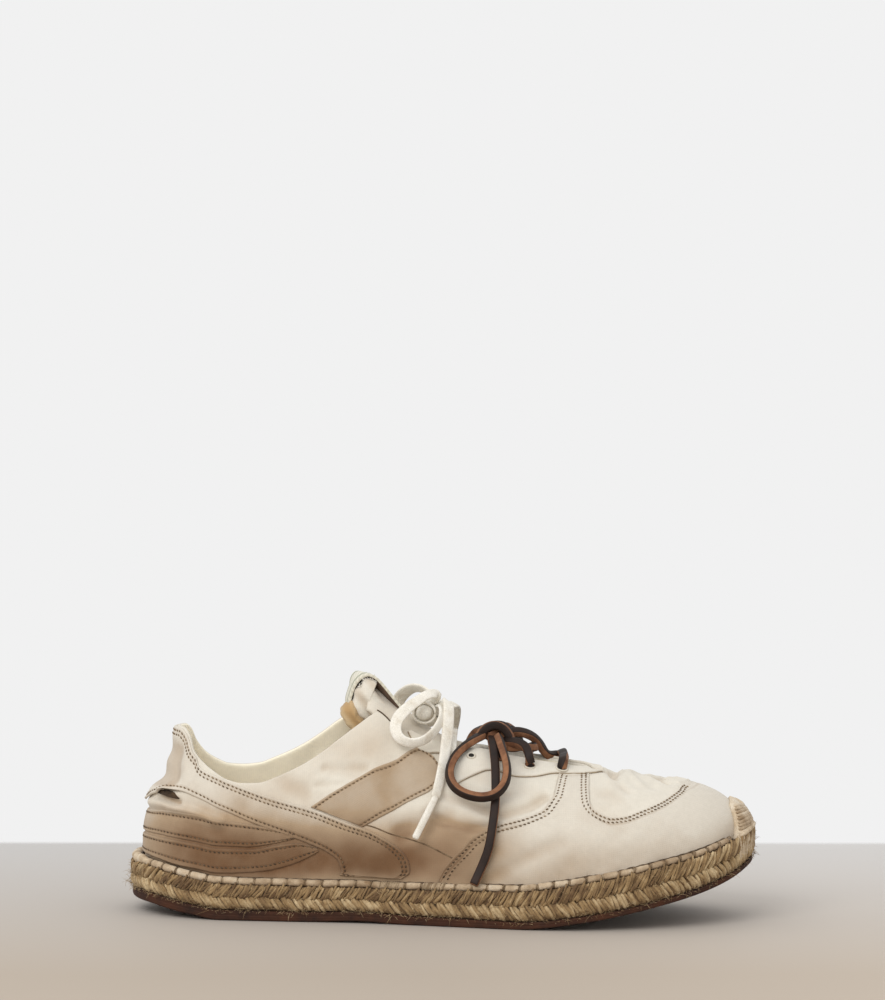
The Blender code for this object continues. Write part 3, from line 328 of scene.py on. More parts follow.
def surface(turn, girth, side):
    """Point of the upper's outside; girth runs from 0 at the feather line to 1 at the ridge.

    A section is a cubic of Bernstein weights through four handles, given in its own vertical plane
    as distances out from the foot and up.
    """
    turn, girth = grids(turn, girth)
    foot = turn_station(turn)
    y, z = np.interp(foot, *FOOT_LINE[side].T), sole_top(foot)
    ridge = along(SPINE, "ridge", foot, "foot")
    top, across, swell, low, inner, high = (along(SECTION, column, ridge, "ridge") for column in (
        "height", "across", "swell", "low", SIDES[side] + "_in", SIDES[side] + "_high"))
    height, dx, dy = top - z, ridge - foot, across - y
    width = np.hypot(dx, dy)
    weight = [(1 - girth)**3, 3 * (1 - girth)**2 * girth, 3 * (1 - girth) * girth**2, girth**3]
    in_plan, climb = (sum(w * h for w, h in zip(weight, handles)) for handles in (
        (0, -swell, inner * width, width), (0, low * height, high * height, height)))
    return np.stack([foot + dx / width * in_plan, y + dy / width * in_plan, z + climb], -1)


def normal(turn, girth, side, step=1e-3):
    """Unit normal of the upper's outside, pointing out of the shoe."""
    turn, girth = grids(turn, girth)
    ahead, behind = (surface(np.clip(turn + d, 0, 1), girth, side) for d in (step, -step))
    above, below = (surface(turn, np.clip(girth + d, 0, 1), side) for d in (step, -step))
    return unit(np.cross(ahead - behind, above - below) * -side)


def shell(turn, girth, side, offset):
    """Point at a distance outside the upper's outside surface."""
    return surface(turn, girth, side) + normal(turn, girth, side) * np.asarray(offset)[..., None]


def middle_at(station):
    """Sideways place of the shoe's middle at a foot station."""
    return along(SECTION, "across", along(SPINE, "ridge", station, "foot"), "ridge")


def girth_at_width(station, half, side):
    """Girth at which a section is the given distance from the middle of the shoe."""
    girth = np.linspace(0.3, 1, 701)
    p = surface(station_turn(station), girth, side)
    return float(np.interp(-half, -np.abs(p[:, 1] - middle_at(station)), girth))


def top_edge(side):
    """Table of the girth at which the upper stops: at the collar's height, then at the throat."""
    girth = np.linspace(0, 1, 801)
    rows = []
    for turn in np.linspace(0, station_turn(COLLAR["station"][-1]), 90):
        p = surface(turn, girth, side)
        over = p[:, 2] - along(COLLAR, SIDES[side], p[:, 0])
        i = np.argmax(over > 0)
        share = over[i - 1] / (over[i - 1] - over[i])
        rows.append((turn, girth[i - 1] + share * (girth[i] - girth[i - 1])))
    return table("turn girth", *rows, *((station_turn(station), girth_at_width(station, half, side))
                                        for station, half in zip(THROAT["station"], THROAT["half"])))


EDGE = {side: top_edge(side) for side in SIDES}
THROAT_END = float(station_turn(THROAT["station"][-1]))


def edge_girth(turn, side):
    """Girth at which the upper stops, at a turn."""
    return np.where(turn >= THROAT_END, 1, along(EDGE[side], "girth", turn, "turn"))


# ---------------------------------------------------------------- folds, wear and painted shade of the canvas

# Folds worn into the canvas: side, depth and width in mm, then the valley's line as foot
# stations and girths in hundredths.
BOTH = 0
FOLDS = (
    (LATERAL, 1.5, 3.4, ((133.7, 49.2), (144, 46.8), (156.9, 41.2), (169.6, 48.7), (175.6, 55.8))),
    (LATERAL, 1.3, 3, ((127.3, 37.2), (136, 35.5), (144.3, 33.8), (155, 35.7))),
    (LATERAL, 0.7, 2.2, ((82.4, 53), (91.1, 51.5), (99.7, 50.8))),
    (LATERAL, 0.5, 1.8, ((84.6, 49.4), (97.4, 47.6))),
    (LATERAL, 0.5, 1.6, ((79, 46.4), (90, 45.6))),
    (LATERAL, 1.5, 5, ((114.7, 27.2), (127.3, 32.3), (135.7, 40.7))),
    (LATERAL, -1.9, 2.6, ((8, 32.2), (13, 33.4), (19, 33), (27, 32.6), (38, 30.2))),
    (LATERAL, 1.7, 2, ((10.5, 37.4), (14, 36.8), (19, 36.6))),
    (LATERAL, 0.8, 1.6, ((18, 30.6), (24, 31.4), (33, 30.4))),
    (LATERAL, 0.8, 5, ((157.3, 9.7), (169.9, 19.7), (182.8, 27.3))),
    (LATERAL, 0.7, 5, ((52, 56), (64, 50), (74, 44))),
    (LATERAL, 0.6, 2.6, ((140, 56), (150, 53), (160, 55))),
    (BOTH, 4.2, 7, ((0, 47), (8, 47), (13, 47.5))),
    (BOTH, 3, 6.5, ((0, 58), (8, 58), (12, 57.5))),
    (BOTH, -0.9, 4.4, ((217, 100), (219, 90), (222, 80))),
    (BOTH, 3, 8, ((199, 100), (207.6, 100))),
    (BOTH, 2, 4.6, ((207.6, 100), (207.4, 87))),
    (BOTH, 1.8, 5.5, ((243, 100), (242, 86))),
    (BOTH, 0.8, 3.6, ((207.4, 92), (209, 80), (214, 68))),
    (BOTH, 1.7, 7, ((240, 99), (262, 99))),
    (BOTH, 0.5, 3.6, ((236, 90), (229, 76))),
    (BOTH, -0.7, 3, ((262, 86), (252, 84))),
    (MEDIAL, 1.4, 3.6, ((135, 48), (146, 44), (158, 42), (171, 50))),
    (MEDIAL, 1, 3, ((124, 36), (138, 33), (152, 36.5))),
    (MEDIAL, 0.7, 2.4, ((80, 52), (91, 50), (101, 50.5))),
    (MEDIAL, 1.2, 4.4, ((154, 10), (168, 20), (180, 29))),
    (MEDIAL, -1.5, 2.6, ((8, 32.2), (13, 33.4), (22, 33), (34, 31))),
    (MEDIAL, 1, 1.7, ((12, 37), (22, 36.5), (30, 34.5))),
)

# Slack of the cloth as slow waves: length, heading, phase and height.
SLACK = ((31, 0.4, 0.3, 0.16), (19, 1.3, 2.1, 0.12), (13, -0.5, 4.4, 0.09), (9, 2.2, 1.2, 0.05),
         (6.5, 0.9, 3.3, 0.03))

# Hem of the vamp, from the heel strap's foot to the toe guard.
HEM = ((97, 28.8), (99.7, 28.2), (114.7, 25.2), (127.3, 22.7), (140.3, 16.8), (148, 13))

# Patches of darker cloth, dirt and painted shade together, or of lighter cloth where the amount is below
# nought: station, girth, how far along and up they reach, and the amount. They lie on both sides alike.
PATCHES = ((170, 56, 8, 7, 0.12), (141, 33, 12, 5, 0.22), (164, 12, 15, 9, -0.26),
           (101, 4, 22, 4, -0.30), (118, 17, 10, 7, 0.16), (92, 60, 14, 9, 0.17),
           (52, 41, 15, 6, 0.12), (206, 62, 9, 9, 0.05), (213, 20, 22, 9, 0.07),
           (152, 62, 9, 5, 0.10), (158, 46, 6, 6, 0.12), (70, 47, 16, 6, 0.10))


def relief(turn, girth, side):
    """Height of the worn cloth over the smooth surface.

    Each fold is a valley with a bank along either side, depth * (1.4 q^2 - 1) exp(-q^2), where q is
    the distance from the valley's line over its width. The slack is a sum of slow sine waves.
    """
    s, g = grids(turn_station(turn), np.asarray(girth, float) * CLIMB)
    calm = 1 - 0.75 * np.clip((s - 205) / 30, 0, 1)
    high = sum(height * np.sin(2 * np.pi * (s * math.cos(heading) + g * math.sin(heading)) / length + phase)
               for length, heading, phase, height in SLACK) * calm
    for where, depth, width, line in FOLDS:
        if where not in (side, BOTH):
            continue
        p = np.array(line) * (1, CLIMB / 100)
        near = np.full(s.shape, 1e9)
        for a, b in zip(p[:-1], p[1:]):
            d = b - a
            share = np.clip(((s - a[0]) * d[0] + (g - a[1]) * d[1]) / (d @ d), 0, 1)
            near = np.minimum(near, (s - a[0] - share * d[0])**2 + (g - a[1] - share * d[1])**2)
        q_squared = near / width**2
        high = high + depth * (1.4 * q_squared - 1) * np.exp(-q_squared)
    return high


def skin(turn, girth, side, offset=0):
    """Point on the worn cloth, at a distance outside it."""
    turn, girth = grids(turn, girth)
    return shell(turn, girth, side, relief(turn, girth, side) + offset)


def soil(turn, girth, side):
    """Share of dirt, wear and painted shade in the cloth, all as one darkening.

    It falls off up the side as 1 / (1 + exp((girth - climb) / 0.045)), heaviest from heel to ball: dirt and
    painted shade low on the side together. It is a little heavier in the valleys of the folds and under the
    heel strap's foot, painted shade there, and lighter at the heel's back and right at the foot, painted light.
    """
    s = turn_station(turn)
    # dirt together with painted shade low on the side; lighter at the heel's back, painted light, and lighter again in
    # a painted strip of light right at the foot
    heavy = np.interp(s, (6, 12, 30, 60, 105, 125, 145, 165, 190, 230, 262),
                      (.5, .66, 1, 1, 1, .85, .66, .42, .26, .16, .2))
    climb = np.interp(s, (6, 30, 60, 85, 105, 118, 135, 150, 170, 200, 262),
                      (.3, .32, .31, .27, .25, .29, .36, .33, .22, .16, .2))
    low = heavy / (1 + np.exp((girth - climb) / 0.045)) * (1 - 0.4 * np.exp(-(girth / 0.05)**2))
    spots = sum(amount * np.exp(-((s - place) / far)**2 - ((girth * 100 - level) / tall)**2)
                for place, level, far, tall, amount in PATCHES)
    sunk = np.clip(-relief(turn, girth, side), 0, 5)
    # painted shade: darker in the valleys of the folds, and darkest in the gap under the heel strap's foot
    shade_under_strap = 0.3 * np.clip(sunk - 2.2, 0, 2) * (s < 30) * (girth < 0.42)
    return np.clip(low + spots + np.where(s < 120, 0.20, 0.13) * np.minimum(sunk, 1.3) + shade_under_strap, 0, 1)


def on_cloth(turn, girth, side, lift):
    """Points on the worn cloth at a lift, their normals and their share of dirt and painted shade."""
    return skin(turn, girth, side, lift), normal(turn, girth, side), soil(turn, girth, side)


# ---------------------------------------------------------------- meshes

def to_world(points):
    """Millimetres from the sole's heel end to metres in the frame."""
    return (np.asarray(points, float).reshape(-1, 3) + (HEEL_X, 0, 0)) * MM


def put(name, points, faces, made_of, nodes=(), slot=None, pick=None, uv=None, **shades):
    """A finished piece from points in millimetres and faces of four corners.

    A corner named twice makes a triangle. The faces are turned to point outwards. Each shade is a
    number for every point that a material can read by its name.
    """
    points = np.asarray(points, float).reshape(-1, 3)
    faces = np.asarray(faces).reshape(-1, 4)
    pick = np.zeros(len(faces), np.int32) if pick is None else np.asarray(pick, np.int32)
    a, b, c, d = (points[faces[:, k]] for k in range(4))
    if np.sum(a * (np.cross(b, c) + np.cross(c, d))) < 0:
        faces = faces[:, ::-1]
    kept = faces != np.roll(faces, -1, 1)
    whole = kept.sum(1) > 2
    faces, kept, pick = faces[whole], kept[whole], pick[whole]
    corner = faces[kept].astype(np.int32)
    counts = kept.sum(1)
    mesh = bpy.data.meshes.new(name)
    mesh.vertices.add(len(points))
    mesh.vertices.foreach_set("co", to_world(points).ravel())
    mesh.loops.add(len(corner))
    mesh.loops.foreach_set("vertex_index", corner)
    mesh.polygons.add(len(faces))
    mesh.polygons.foreach_set("loop_start", np.concatenate([[0], np.cumsum(counts)[:-1]]).astype(np.int32))
    mesh.update(calc_edges=True)
    mesh.polygons.foreach_set("material_index", pick)
    if uv is not None:
        layer = mesh.uv_layers.new(name="UVMap")
        layer.data.foreach_set("uv", np.asarray(uv, float).reshape(-1, 2)[corner].ravel())
    for key, value in shades.items():
        layer = mesh.attributes.new(key, "FLOAT", "POINT")
        layer.data.foreach_set("value", np.broadcast_to(value, len(points)).astype(np.float32))
    for each in made_of if isinstance(made_of, (list, tuple)) else [made_of]:
        mesh.materials.append(each)
    mesh.shade_smooth()
    made = bpy.data.objects.new(name + "_finished" * (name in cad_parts), mesh)
    bpy.context.scene.collection.objects.link(made)
    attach(made, BODY)
    if nodes:
        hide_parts(*([nodes] if isinstance(nodes, str) else nodes))
    return made


def jitter(count, size):
    """Random numbers up to a size either way."""
    return RANDOM.uniform(-size, size, count)


def circle(count, radius=1, flat=1, turned=0):
    """Points round an ellipse, as (across, up)."""
    angle = np.linspace(0, 2 * np.pi, count, endpoint=False) + turned
    return np.stack([np.cos(angle) * radius, np.sin(angle) * radius * flat], -1)


def carry(path, up, shape, looped=False):
    """A closed profile carried along a path: path + across * side + high * up, square to the path.

    Leading axes are many paths at once. The shape is (..., points, 2), one for all rings or one each.
    """
    ahead = unit(np.roll(path, -1, -2) - np.roll(path, 1, -2) if looped else np.gradient(path, axis=-2))
    up = unit(up - ahead * np.sum(up * ahead, -1, keepdims=True))
    side = np.cross(ahead, up)
    return path[..., None, :] + shape[..., 0:1] * side[..., None, :] + shape[..., 1:2] * up[..., None, :]


def tube_faces(rings, looped=False):
    """Points and faces of many tubes, (tubes, rings, points, 3), each end closed by a fan."""
    b, n, m = rings.shape[:3]
    index = np.arange(b * n * m).reshape(b, n, m)
    turned = np.roll(index, -1, 2)
    points = rings.reshape(-1, 3)
    if looped:
        faces = np.stack([index, turned, np.roll(turned, -1, 1), np.roll(index, -1, 1)], -1)
        return points, faces.reshape(-1, 4)
    walls = np.stack([index[:, :-1], turned[:, :-1], turned[:, 1:], index[:, 1:]], -1).reshape(-1, 4)
    first = np.broadcast_to((b * n * m + 2 * np.arange(b))[:, None], (b, m))
    back = np.stack([first, turned[:, 0], index[:, 0], index[:, 0]], -1).reshape(-1, 4)
    front = np.stack([first + 1, index[:, -1], turned[:, -1], turned[:, -1]], -1).reshape(-1, 4)
    middles = rings[:, [0, -1]].mean(2).reshape(-1, 3)
    return np.concatenate([points, middles]), np.concatenate([walls, back, front])


def spread(values, rings, looped=False):
    """A number for each tube or ring, given to every point of tube_faces."""
    b, n, m = rings.shape[:3]
    values = np.asarray(values, float)
    whole = np.broadcast_to(values.reshape(b, -1, 1) if values.size > 1 else values, (b, n, m))
    ends = [] if looped else [whole[:, [0, -1], 0].ravel()]
    return np.concatenate([whole.ravel(), *ends])


def tubes(name, rings, made_of, looped=False, tone=None, **facts):
    """A finished piece of one tube or many, each with its own tone where one is given."""
    rings = rings if rings.ndim == 4 else rings[None]
    points, faces = tube_faces(rings, looped)
    if tone is not None:
        facts["tone"] = spread(tone, rings, looped)
    return put(name, points, faces, made_of, **facts)


def cord_along(name, line, radii, made_of, count=12, **facts):
    """A round cord along a line that lies about level, its radius given at every point."""
    return tubes(name, carry(line, np.broadcast_to(UPWARDS, line.shape), circle(count) * radii[:, None, None]),
                 made_of, **facts)


def points_at(path, where, at=None):
    """Points of a path at distances along it."""
    at = distances(path) if at is None else at
    return np.stack([np.interp(where, at, path[:, k]) for k in range(path.shape[1])], -1)


def evenly(path, spacing=None, count=None):
    """Points evenly apart along a path, by their spacing or their count."""
    length = distances(path)[-1]
    return points_at(path, np.linspace(0, length, count or max(2, int(round(length / spacing)) + 1)))


# ---------------------------------------------------------------- materials

def srgb(code):
    """Linear colour of an sRGB hex value."""
    share = np.array([int(code[i:i + 2], 16) for i in (1, 3, 5)]) / 255
    return (*np.where(share < 0.04045, share / 12.92, ((share + 0.055) / 1.055)**2.4).tolist(), 1)


def add(tree, kind, settings=None, *values, **inputs):
    """A node with its settings; each input is a value or the output it is linked from."""
    made = tree.nodes.new("ShaderNode" + kind)
    for key, value in (settings or {}).items():
        setattr(made, key, value)
    named = [(made.inputs[key.replace("_", " ")], value) for key, value in inputs.items()]
    for socket, value in [*zip(made.inputs, values), *named]:
        if isinstance(value, bpy.types.NodeSocket):
            tree.links.new(value, socket)
        else:
            socket.default_value = value
    return made


def maths(tree, operation, *values, **settings):
    """The result of one sum."""
    return add(tree, "Math", {"operation": operation, **settings}, *values).outputs[0]


def scaled(tree, value, *ends):
    """A value moved from one range to another: from low, from high, to low, to high."""
    return add(tree, "MapRange", None, value, *ends).outputs[0]


def noise(tree, place, scale, detail, roughness):
    """Cloudy grey, its clouds about 1 / scale metres across."""
    return add(tree, "TexNoise", Vector=place, Scale=scale, Detail=detail, Roughness=roughness).outputs["Fac"]


def finish_of(name, roughness=0.9, sheen=0, ior=1.45):
    """An empty material: its tree and its shader."""
    made = bpy.data.materials.new(name)
    made.use_nodes = True
    tree = made.node_tree
    shader = tree.nodes["Principled BSDF"]
    for key, value in (("Roughness", roughness), ("IOR", ior), ("Sheen Weight", sheen)):
        shader.inputs[key].default_value = value
    return made, tree, shader


def ramp(tree, factor, *stops):
    """Colour or grey read off a scale of (place, sRGB hex)."""
    made = add(tree, "ValToRGB", None, factor)
    scale = made.color_ramp.elements
    while len(scale) < len(stops):
        scale.new(0.5)
    for stop, (place, code) in zip(scale, stops):
        stop.position, stop.color = place, srgb(code)
    return made.outputs["Color"]


def cover(tree, shader, colour, height, strength, tint=None, distance=DENT):
    """Gives the shader its colour, darkened by a grey where there is one, and dents from a height."""
    if tint is not None:
        colour = add(tree, "MixRGB", {"blend_type": "MULTIPLY"}, 1, colour, tint).outputs["Color"]
    tree.links.new(colour, shader.inputs["Base Color"])
    bump = add(tree, "Bump", Strength=strength, Distance=distance, Height=height)
    tree.links.new(bump.outputs["Normal"], shader.inputs["Normal"])


def canvas(name, clean, soiled, deep):
    """Cotton duck, plain woven, washed and worn.

    The eye sees a matt chalky cloth with a fine square weave, cream where it is clean and tan where
    dust and feet have rubbed it and where shade is painted in. The real threads are 0.5 mm apart, and
    the weave is drawn coarser so that it shows, its low places painted a little darker as shade.
    """
    made, tree, shader = finish_of(name, 0.92, 0.12)
    cloth = add(tree, "UVMap").outputs["UV"]
    place = add(tree, "TexCoord").outputs["Object"]
    # the cloth's share of dirt and painted shade, read from the piece's attribute
    dirt_and_shade = add(tree, "Attribute", {"attribute_name": "soil"}).outputs["Fac"]
    weave = [add(tree, "TexWave", {"bands_direction": heading, "wave_profile": "SIN"}, Vector=cloth,
                 Scale=BANDS / WEAVE, Distortion=1.6, Detail=2, Detail_Scale=1.2,
                 Detail_Roughness=0.6).outputs["Fac"] for heading in "XY"]
    woven = maths(tree, "MAXIMUM", *weave)
    fine = noise(tree, place, 420, 3, 0.7)
    patchy = scaled(tree, noise(tree, place, 26, 5, 0.6), 0.3, 0.7, -0.13, 0.13)
    colour = ramp(tree, maths(tree, "ADD", dirt_and_shade, patchy, use_clamp=True), (0, clean), (0.5, soiled), (1, deep))
    speck = maths(tree, "MULTIPLY", scaled(tree, woven, 0, 1, 0.955, 1.015), scaled(tree, fine, 0.25, 0.75, 0.95, 1.04))
    cover(tree, shader, colour, maths(tree, "MULTIPLY_ADD", woven, 0.7, fine), 0.22, speck)
    return made


def fibre(name, dark, middle, light, strand=520, roughness=0.88, strength=0.6, sheen=0.05):
    """Twisted fibre: jute yarn, sewing thread or soft cotton, told apart by its colours.

    The eye sees a dry matt strand, darker between its plies, where shade is painted along its dents, and
    each strand a little different in tone.
    """
    made, tree, shader = finish_of(name, roughness, sheen)
    place = add(tree, "TexCoord").outputs["Object"]
    own = add(tree, "Attribute", {"attribute_name": "tone"}).outputs["Fac"]
    hair = noise(tree, place, strand * 2.5, 2, 0.7)
    shift = scaled(tree, noise(tree, place, strand / 4, 3, 0.6), 0.3, 0.7, -0.28, 0.28)
    colour = ramp(tree, maths(tree, "ADD", own, shift, use_clamp=True), (0, dark), (0.5, middle), (1, light))
    cover(tree, shader, colour, hair, strength, scaled(tree, hair, 0.3, 0.7, 0.82, 1.08))
    return made


def grain(name, low, high, roughness, scale, distance, ior=1.5):
    """A surface coloured and dented by one noise: rubber, leather or a raw cut edge."""
    made, tree, shader = finish_of(name, roughness, 0, ior)
    place = add(tree, "TexCoord").outputs["Object"]
    cell = add(tree, "TexVoronoi", {"feature": "SMOOTH_F1"}, Vector=place, Scale=scale).outputs["Distance"]
    cover(tree, shader, ramp(tree, noise(tree, place, scale / 8, 4, 0.6), (0.3, low), (0.7, high)), cell, 0.5,
          distance=distance)
    return made


CREAM = canvas("washed cream cotton canvas", "#D9D2C4", "#AE967A", "#705034")
SAND = canvas("washed sand cotton canvas", "#D3CBBD", "#A68F74", "#6E5035")
LINING = canvas("cotton drill lining", "#FBF3DE", "#E3D6BF", "#B7A282")
# raw canvas browned under the pull loop's foot, its tan partly painted shade on the tongue's back
BROWNED_AND_SHADED_CANVAS = canvas("browned and shaded raw canvas", "#D6C6A6", "#B49468", "#8A6440")
THREAD_TAN = fibre("waxed tan sewing thread", "#45331F", "#80694D", "#B8A284", 900, 0.6)
NEEDLE = fibre("shade in a needle hole", "#2B1E12", "#5A452F", "#8A7459", 900, 0.95)
THREAD_CREAM = fibre("cream sewing thread", "#B5AA96", "#D2C9B8", "#E4DDCF", 900, 0.7)
JUTE = fibre("braided jute", "#634A30", "#9C8059", "#CDB68F", 620, strength=0.9)
JUTE_PALE = fibre("pale whipping jute", "#937A5C", "#C9B599", "#E4D8C4", 620)
# the webbing's back, browned, and darkened further as the painted shade inside the pull loop
BROWNED_AND_SHADED_WEBBING = fibre("browned and shaded back of the webbing", "#2E2013", "#5A4331", "#856A50", 500)
JUTE_CORE = fibre("shaded jute core", "#45331F", "#624A2F", "#7E6444", 500)
RAND = fibre("canvas covered piping", "#8A7053", "#BDA88C", "#D6C8B2", 700)
COTTON = fibre("soft cotton tape", "#CFC2AD", "#E8E2D5", "#F5F1E8", 900, 0.92, sheen=0.1)
RUBBER = grain("moulded brown rubber", "#2A1306", "#4C2812", 0.9, 900, 0.0001)
GRAIN_LEATHER = grain("dark brown grain leather", "#170C06", "#2B180D", 0.65, 1600, 0.00008, 1.4)
RAW_LEATHER = grain("raw tan leather edge", "#5E3923", "#996B4A", 0.9, 1500, 0.0002)
HOLLOW = grain("shade inside an eyelet", "#15110D", "#221B14", 0.9, 400, 0.0001)

# ---------------------------------------------------------------- camera, floor and light

lens = bpy.data.cameras.new("camera")
lens.lens, lens.sensor_width, lens.clip_end = 337.8, 36, 20
camera = bpy.data.objects.new("camera", lens)
bpy.context.scene.collection.objects.link(camera)
camera.matrix_world = (Matrix.Translation((-0.0027, -3.9781, 0.5959)) @ Matrix.Rotation(math.radians(84), 4, "X")
                       @ Matrix.Rotation(math.radians(0.92), 4, "Z"))
bpy.context.scene.camera = camera
bpy.context.scene.view_settings.view_transform = "Standard"

floor_finish, tree, shader = finish_of("matt painted floor", 0.75)
turned_floor = add(tree, "Mapping", Vector=add(tree, "TexCoord").outputs["Object"], Rotation=(0, 0, math.radians(-6.2)))
along_floor, across_floor, _ = add(tree, "SeparateXYZ", Vector=turned_floor.outputs["Vector"]).outputs
# painted light on the floor: darker towards the camera and lighter to the right
colour = ramp(tree, scaled(tree, across_floor, -0.17, 0.2), (0, "#AFA293"), (1, "#C2BFBC"))
tint = add(tree, "MixRGB", {"blend_type": "MULTIPLY"}, 1, colour, scaled(tree, along_floor, -0.02, 0.17, 1, 1.14))
tree.links.new(tint.outputs["Color"], shader.inputs["Base Color"])
faded = add(tree, "MapRange", {"interpolation_type": "SMOOTHSTEP"}, Value=across_floor,
            From_Min=0.205, From_Max=0.217, To_Min=1, To_Max=0).outputs[0]
tree.links.new(faded, shader.inputs["Alpha"])
floor_mesh = bpy.data.meshes.new("floor")
floor_mesh.from_pydata([(-1.2, -1.2, 0), (1.2, -1.2, 0), (1.2, 0.4, 0), (-1.2, 0.4, 0)], [], [(0, 1, 2, 3)])
floor_mesh.materials.append(floor_finish)
floor = bpy.data.objects.new("floor", floor_mesh)
bpy.context.scene.collection.objects.link(floor)

world = bpy.data.worlds.new("white studio")
world.use_nodes = True
world.node_tree.nodes["Background"].inputs["Color"].default_value = srgb("#F1F1F1")
bpy.context.scene.world = world


place, aim = Vector((-0.55, -1.25, 1)), Vector((0, 0, 0.04))
lamp = bpy.data.lights.new("front softbox", "AREA")
lamp.shape, lamp.size, lamp.size_y, lamp.energy = "RECTANGLE", 1, 0.8, 13
softbox = bpy.data.objects.new("front softbox", lamp)
bpy.context.scene.collection.objects.link(softbox)
softbox.matrix_world = Matrix.Translation(place) @ (aim - place).to_track_quat("-Z", "Y").to_matrix().to_4x4()

# ---------------------------------------------------------------- laces

LEATHER = [GRAIN_LEATHER, RAW_LEATHER]
TAPE_EDGE = (14, 0.6)      # points round the tape's profile and how hard its corners are
TIP_LENGTH, TIP_SIZE = 20, (2.9, 2.1)


def square(width, height, count=16, hard=0.42):
    """A rounded oblong as (across, up): the signed power of cosine and sine."""
    p = circle(count, turned=np.pi / count)
    return np.sign(p) * abs(p)**hard * (width / 2, height / 2)


def turned_by(shape, degrees):
    """A profile turned about its path, by one angle or by one for each ring."""
    c, s = (f(np.radians(degrees))[..., None] for f in (np.cos, np.sin))
    return np.stack([shape[..., 0] * c - shape[..., 1] * s, shape[..., 0] * s + shape[..., 1] * c], -1)


def lace_rings(route, up, shape, tilt=0, spacing=1, ends=0.3, wide=1):
    """Rings of a lace along a smooth route, its profile turned about the route by the tilt.

    The tilt, and the share by which the lace spreads wide, are numbers or lists of (share, value).
    """
    path = smooth_route(route, spacing)
    n = len(path)
    tilts, widths = (np.interp(np.linspace(0, 1, n), *np.transpose(v)) if isinstance(v, tuple) else np.full(n, v)
                     for v in (tilt, wide))
    p = turned_by(shape * np.stack([widths, np.ones(n)], -1)[:, None], tilts)
    from_end = np.minimum(np.arange(n), np.arange(n)[::-1])
    p = p * np.interp(from_end, [0, 1], [1 - ends, 1])[:, None, None]
    return path, carry(path, np.broadcast_to(np.array(up, float), path.shape), p)


def leather_faces(rings, shape):
    """Which faces are raw cut edge (1) and which are grain (0), and raw at both ends."""
    middle = (shape + np.roll(shape, -1, 0)) / 2 / abs(shape).max(0)
    raw = (abs(middle[:, 0]) > abs(middle[:, 1])).astype(int)
    b, n, m = rings.shape[:3]
    return np.concatenate([np.tile(raw, b * (n - 1)), np.ones(2 * b * m, int)])


def thong(name, route, up, tilt=-40, ends=0.06, **facts):
    """A length of leather lace: grain on its faces, raw along its edges."""
    shape = square(*THONG)
    path, rings = lace_rings(route, up, shape, tilt, ends=ends)
    return tubes(name, rings, LEATHER, pick=leather_faces(rings[None], shape), slot="leather", **facts), path


def ribbon(name, route, up, tilt=0, spacing=1, size=TAPE, wide=1, **facts):
    """A length of cotton tape."""
    path, rings = lace_rings(route, up, square(*size, *TAPE_EDGE), tilt, spacing, wide=wide)
    tone = 0.55 + 0.1 * np.sin(np.arange(len(path)) / 5)
    return tubes(name, rings, COTTON, tone=tone, slot="tape", **facts), path


def tip_route(route):
    """The stiffened tip runs on from the tape's end, swinging back and down."""
    start, before = np.array(route[-1]), np.array(route[-2])
    ahead = unit(unit(start - before) + (-0.26, 0, -0.1))
    return [start + ahead * d for d in (-0.8, 3, 9, TIP_LENGTH)]


FACING, AWAY, UPWARD = (0, -0.8, 0.6), (0, 0.8, 0.6), (0, -0.25, 1)
LOOP_TURN = ((0, -30), (0.15, -50), (0.3, -70), (0.85, -72), (1, -60))
for name, route, up, tilt, far_end in (
        ("leather_lace_loop", THONG_LOOP, FACING, LOOP_TURN, "object"),
        ("leather_lace_end", THONG_END, (0.3, -0.9, 0.3), -22, "bare"),
        ("leather_lace_far_loop", THONG_FAR_LOOP, AWAY, 40, "object"),
        ("leather_lace_far_end", THONG_FAR_END, AWAY, 40, "bare")):
    made, path = thong(name, route, up, tilt, nodes=name)
NEAR_TURN = ((0, 0), (0.2, 0), (0.42, -8), (0.55, -48), (0.85, -55), (1, -20))
END_SPREAD = ((0, 1), (0.4, 1.1), (0.7, 0.95), (1, 0.85))
NEAR_SPREAD = ((0, 0.75), (0.18, 0.85), (0.36, 1.1), (0.52, 0.95), (1, 0.85))
for name, route, up, tilt, wide, far_end in (
        ("tape_lace_loop", TAPE_LOOP, (0, -0.9, 0.35), NEAR_TURN, NEAR_SPREAD, "object"),
        ("tape_lace_end", TAPE_END, (0.5, -0.7, 0.5), 0, END_SPREAD, "bare"),
        ("tape_lace_far_loop", TAPE_FAR_LOOP, (0.1, 0.7, 0.7), 0, 1.2, "object"),
        ("tape_lace_far_end", TAPE_FAR_END, (0.5, 0.7, 0.5), 0, 1, "bare")):
    made, path = ribbon(name, route, up, tilt, wide=wide, nodes=name)
    if far_end == "bare":
        tip = name.replace("end", "tip")
        ribbon(tip, tip_route(route), up, size=TIP_SIZE, spacing=0.8, nodes=tip)[0]


def girths_at(stations, halves, side):
    """Girths at which sections are the given distances from the shoe's middle, (stations, places)."""
    girth = np.linspace(0.3, 1, 351)
    p = surface(station_turn(stations)[:, None], girth[None], side)
    return np.array([np.interp(-h, -abs(line[:, 1] - m), girth) for line, m, h in zip(p, middle_at(stations), halves)])


def throat_half(station):
    """Half the throat's width, the same behind the table's first row as on it."""
    return float(along(THROAT, "half", max(station, THROAT["station"][0])))


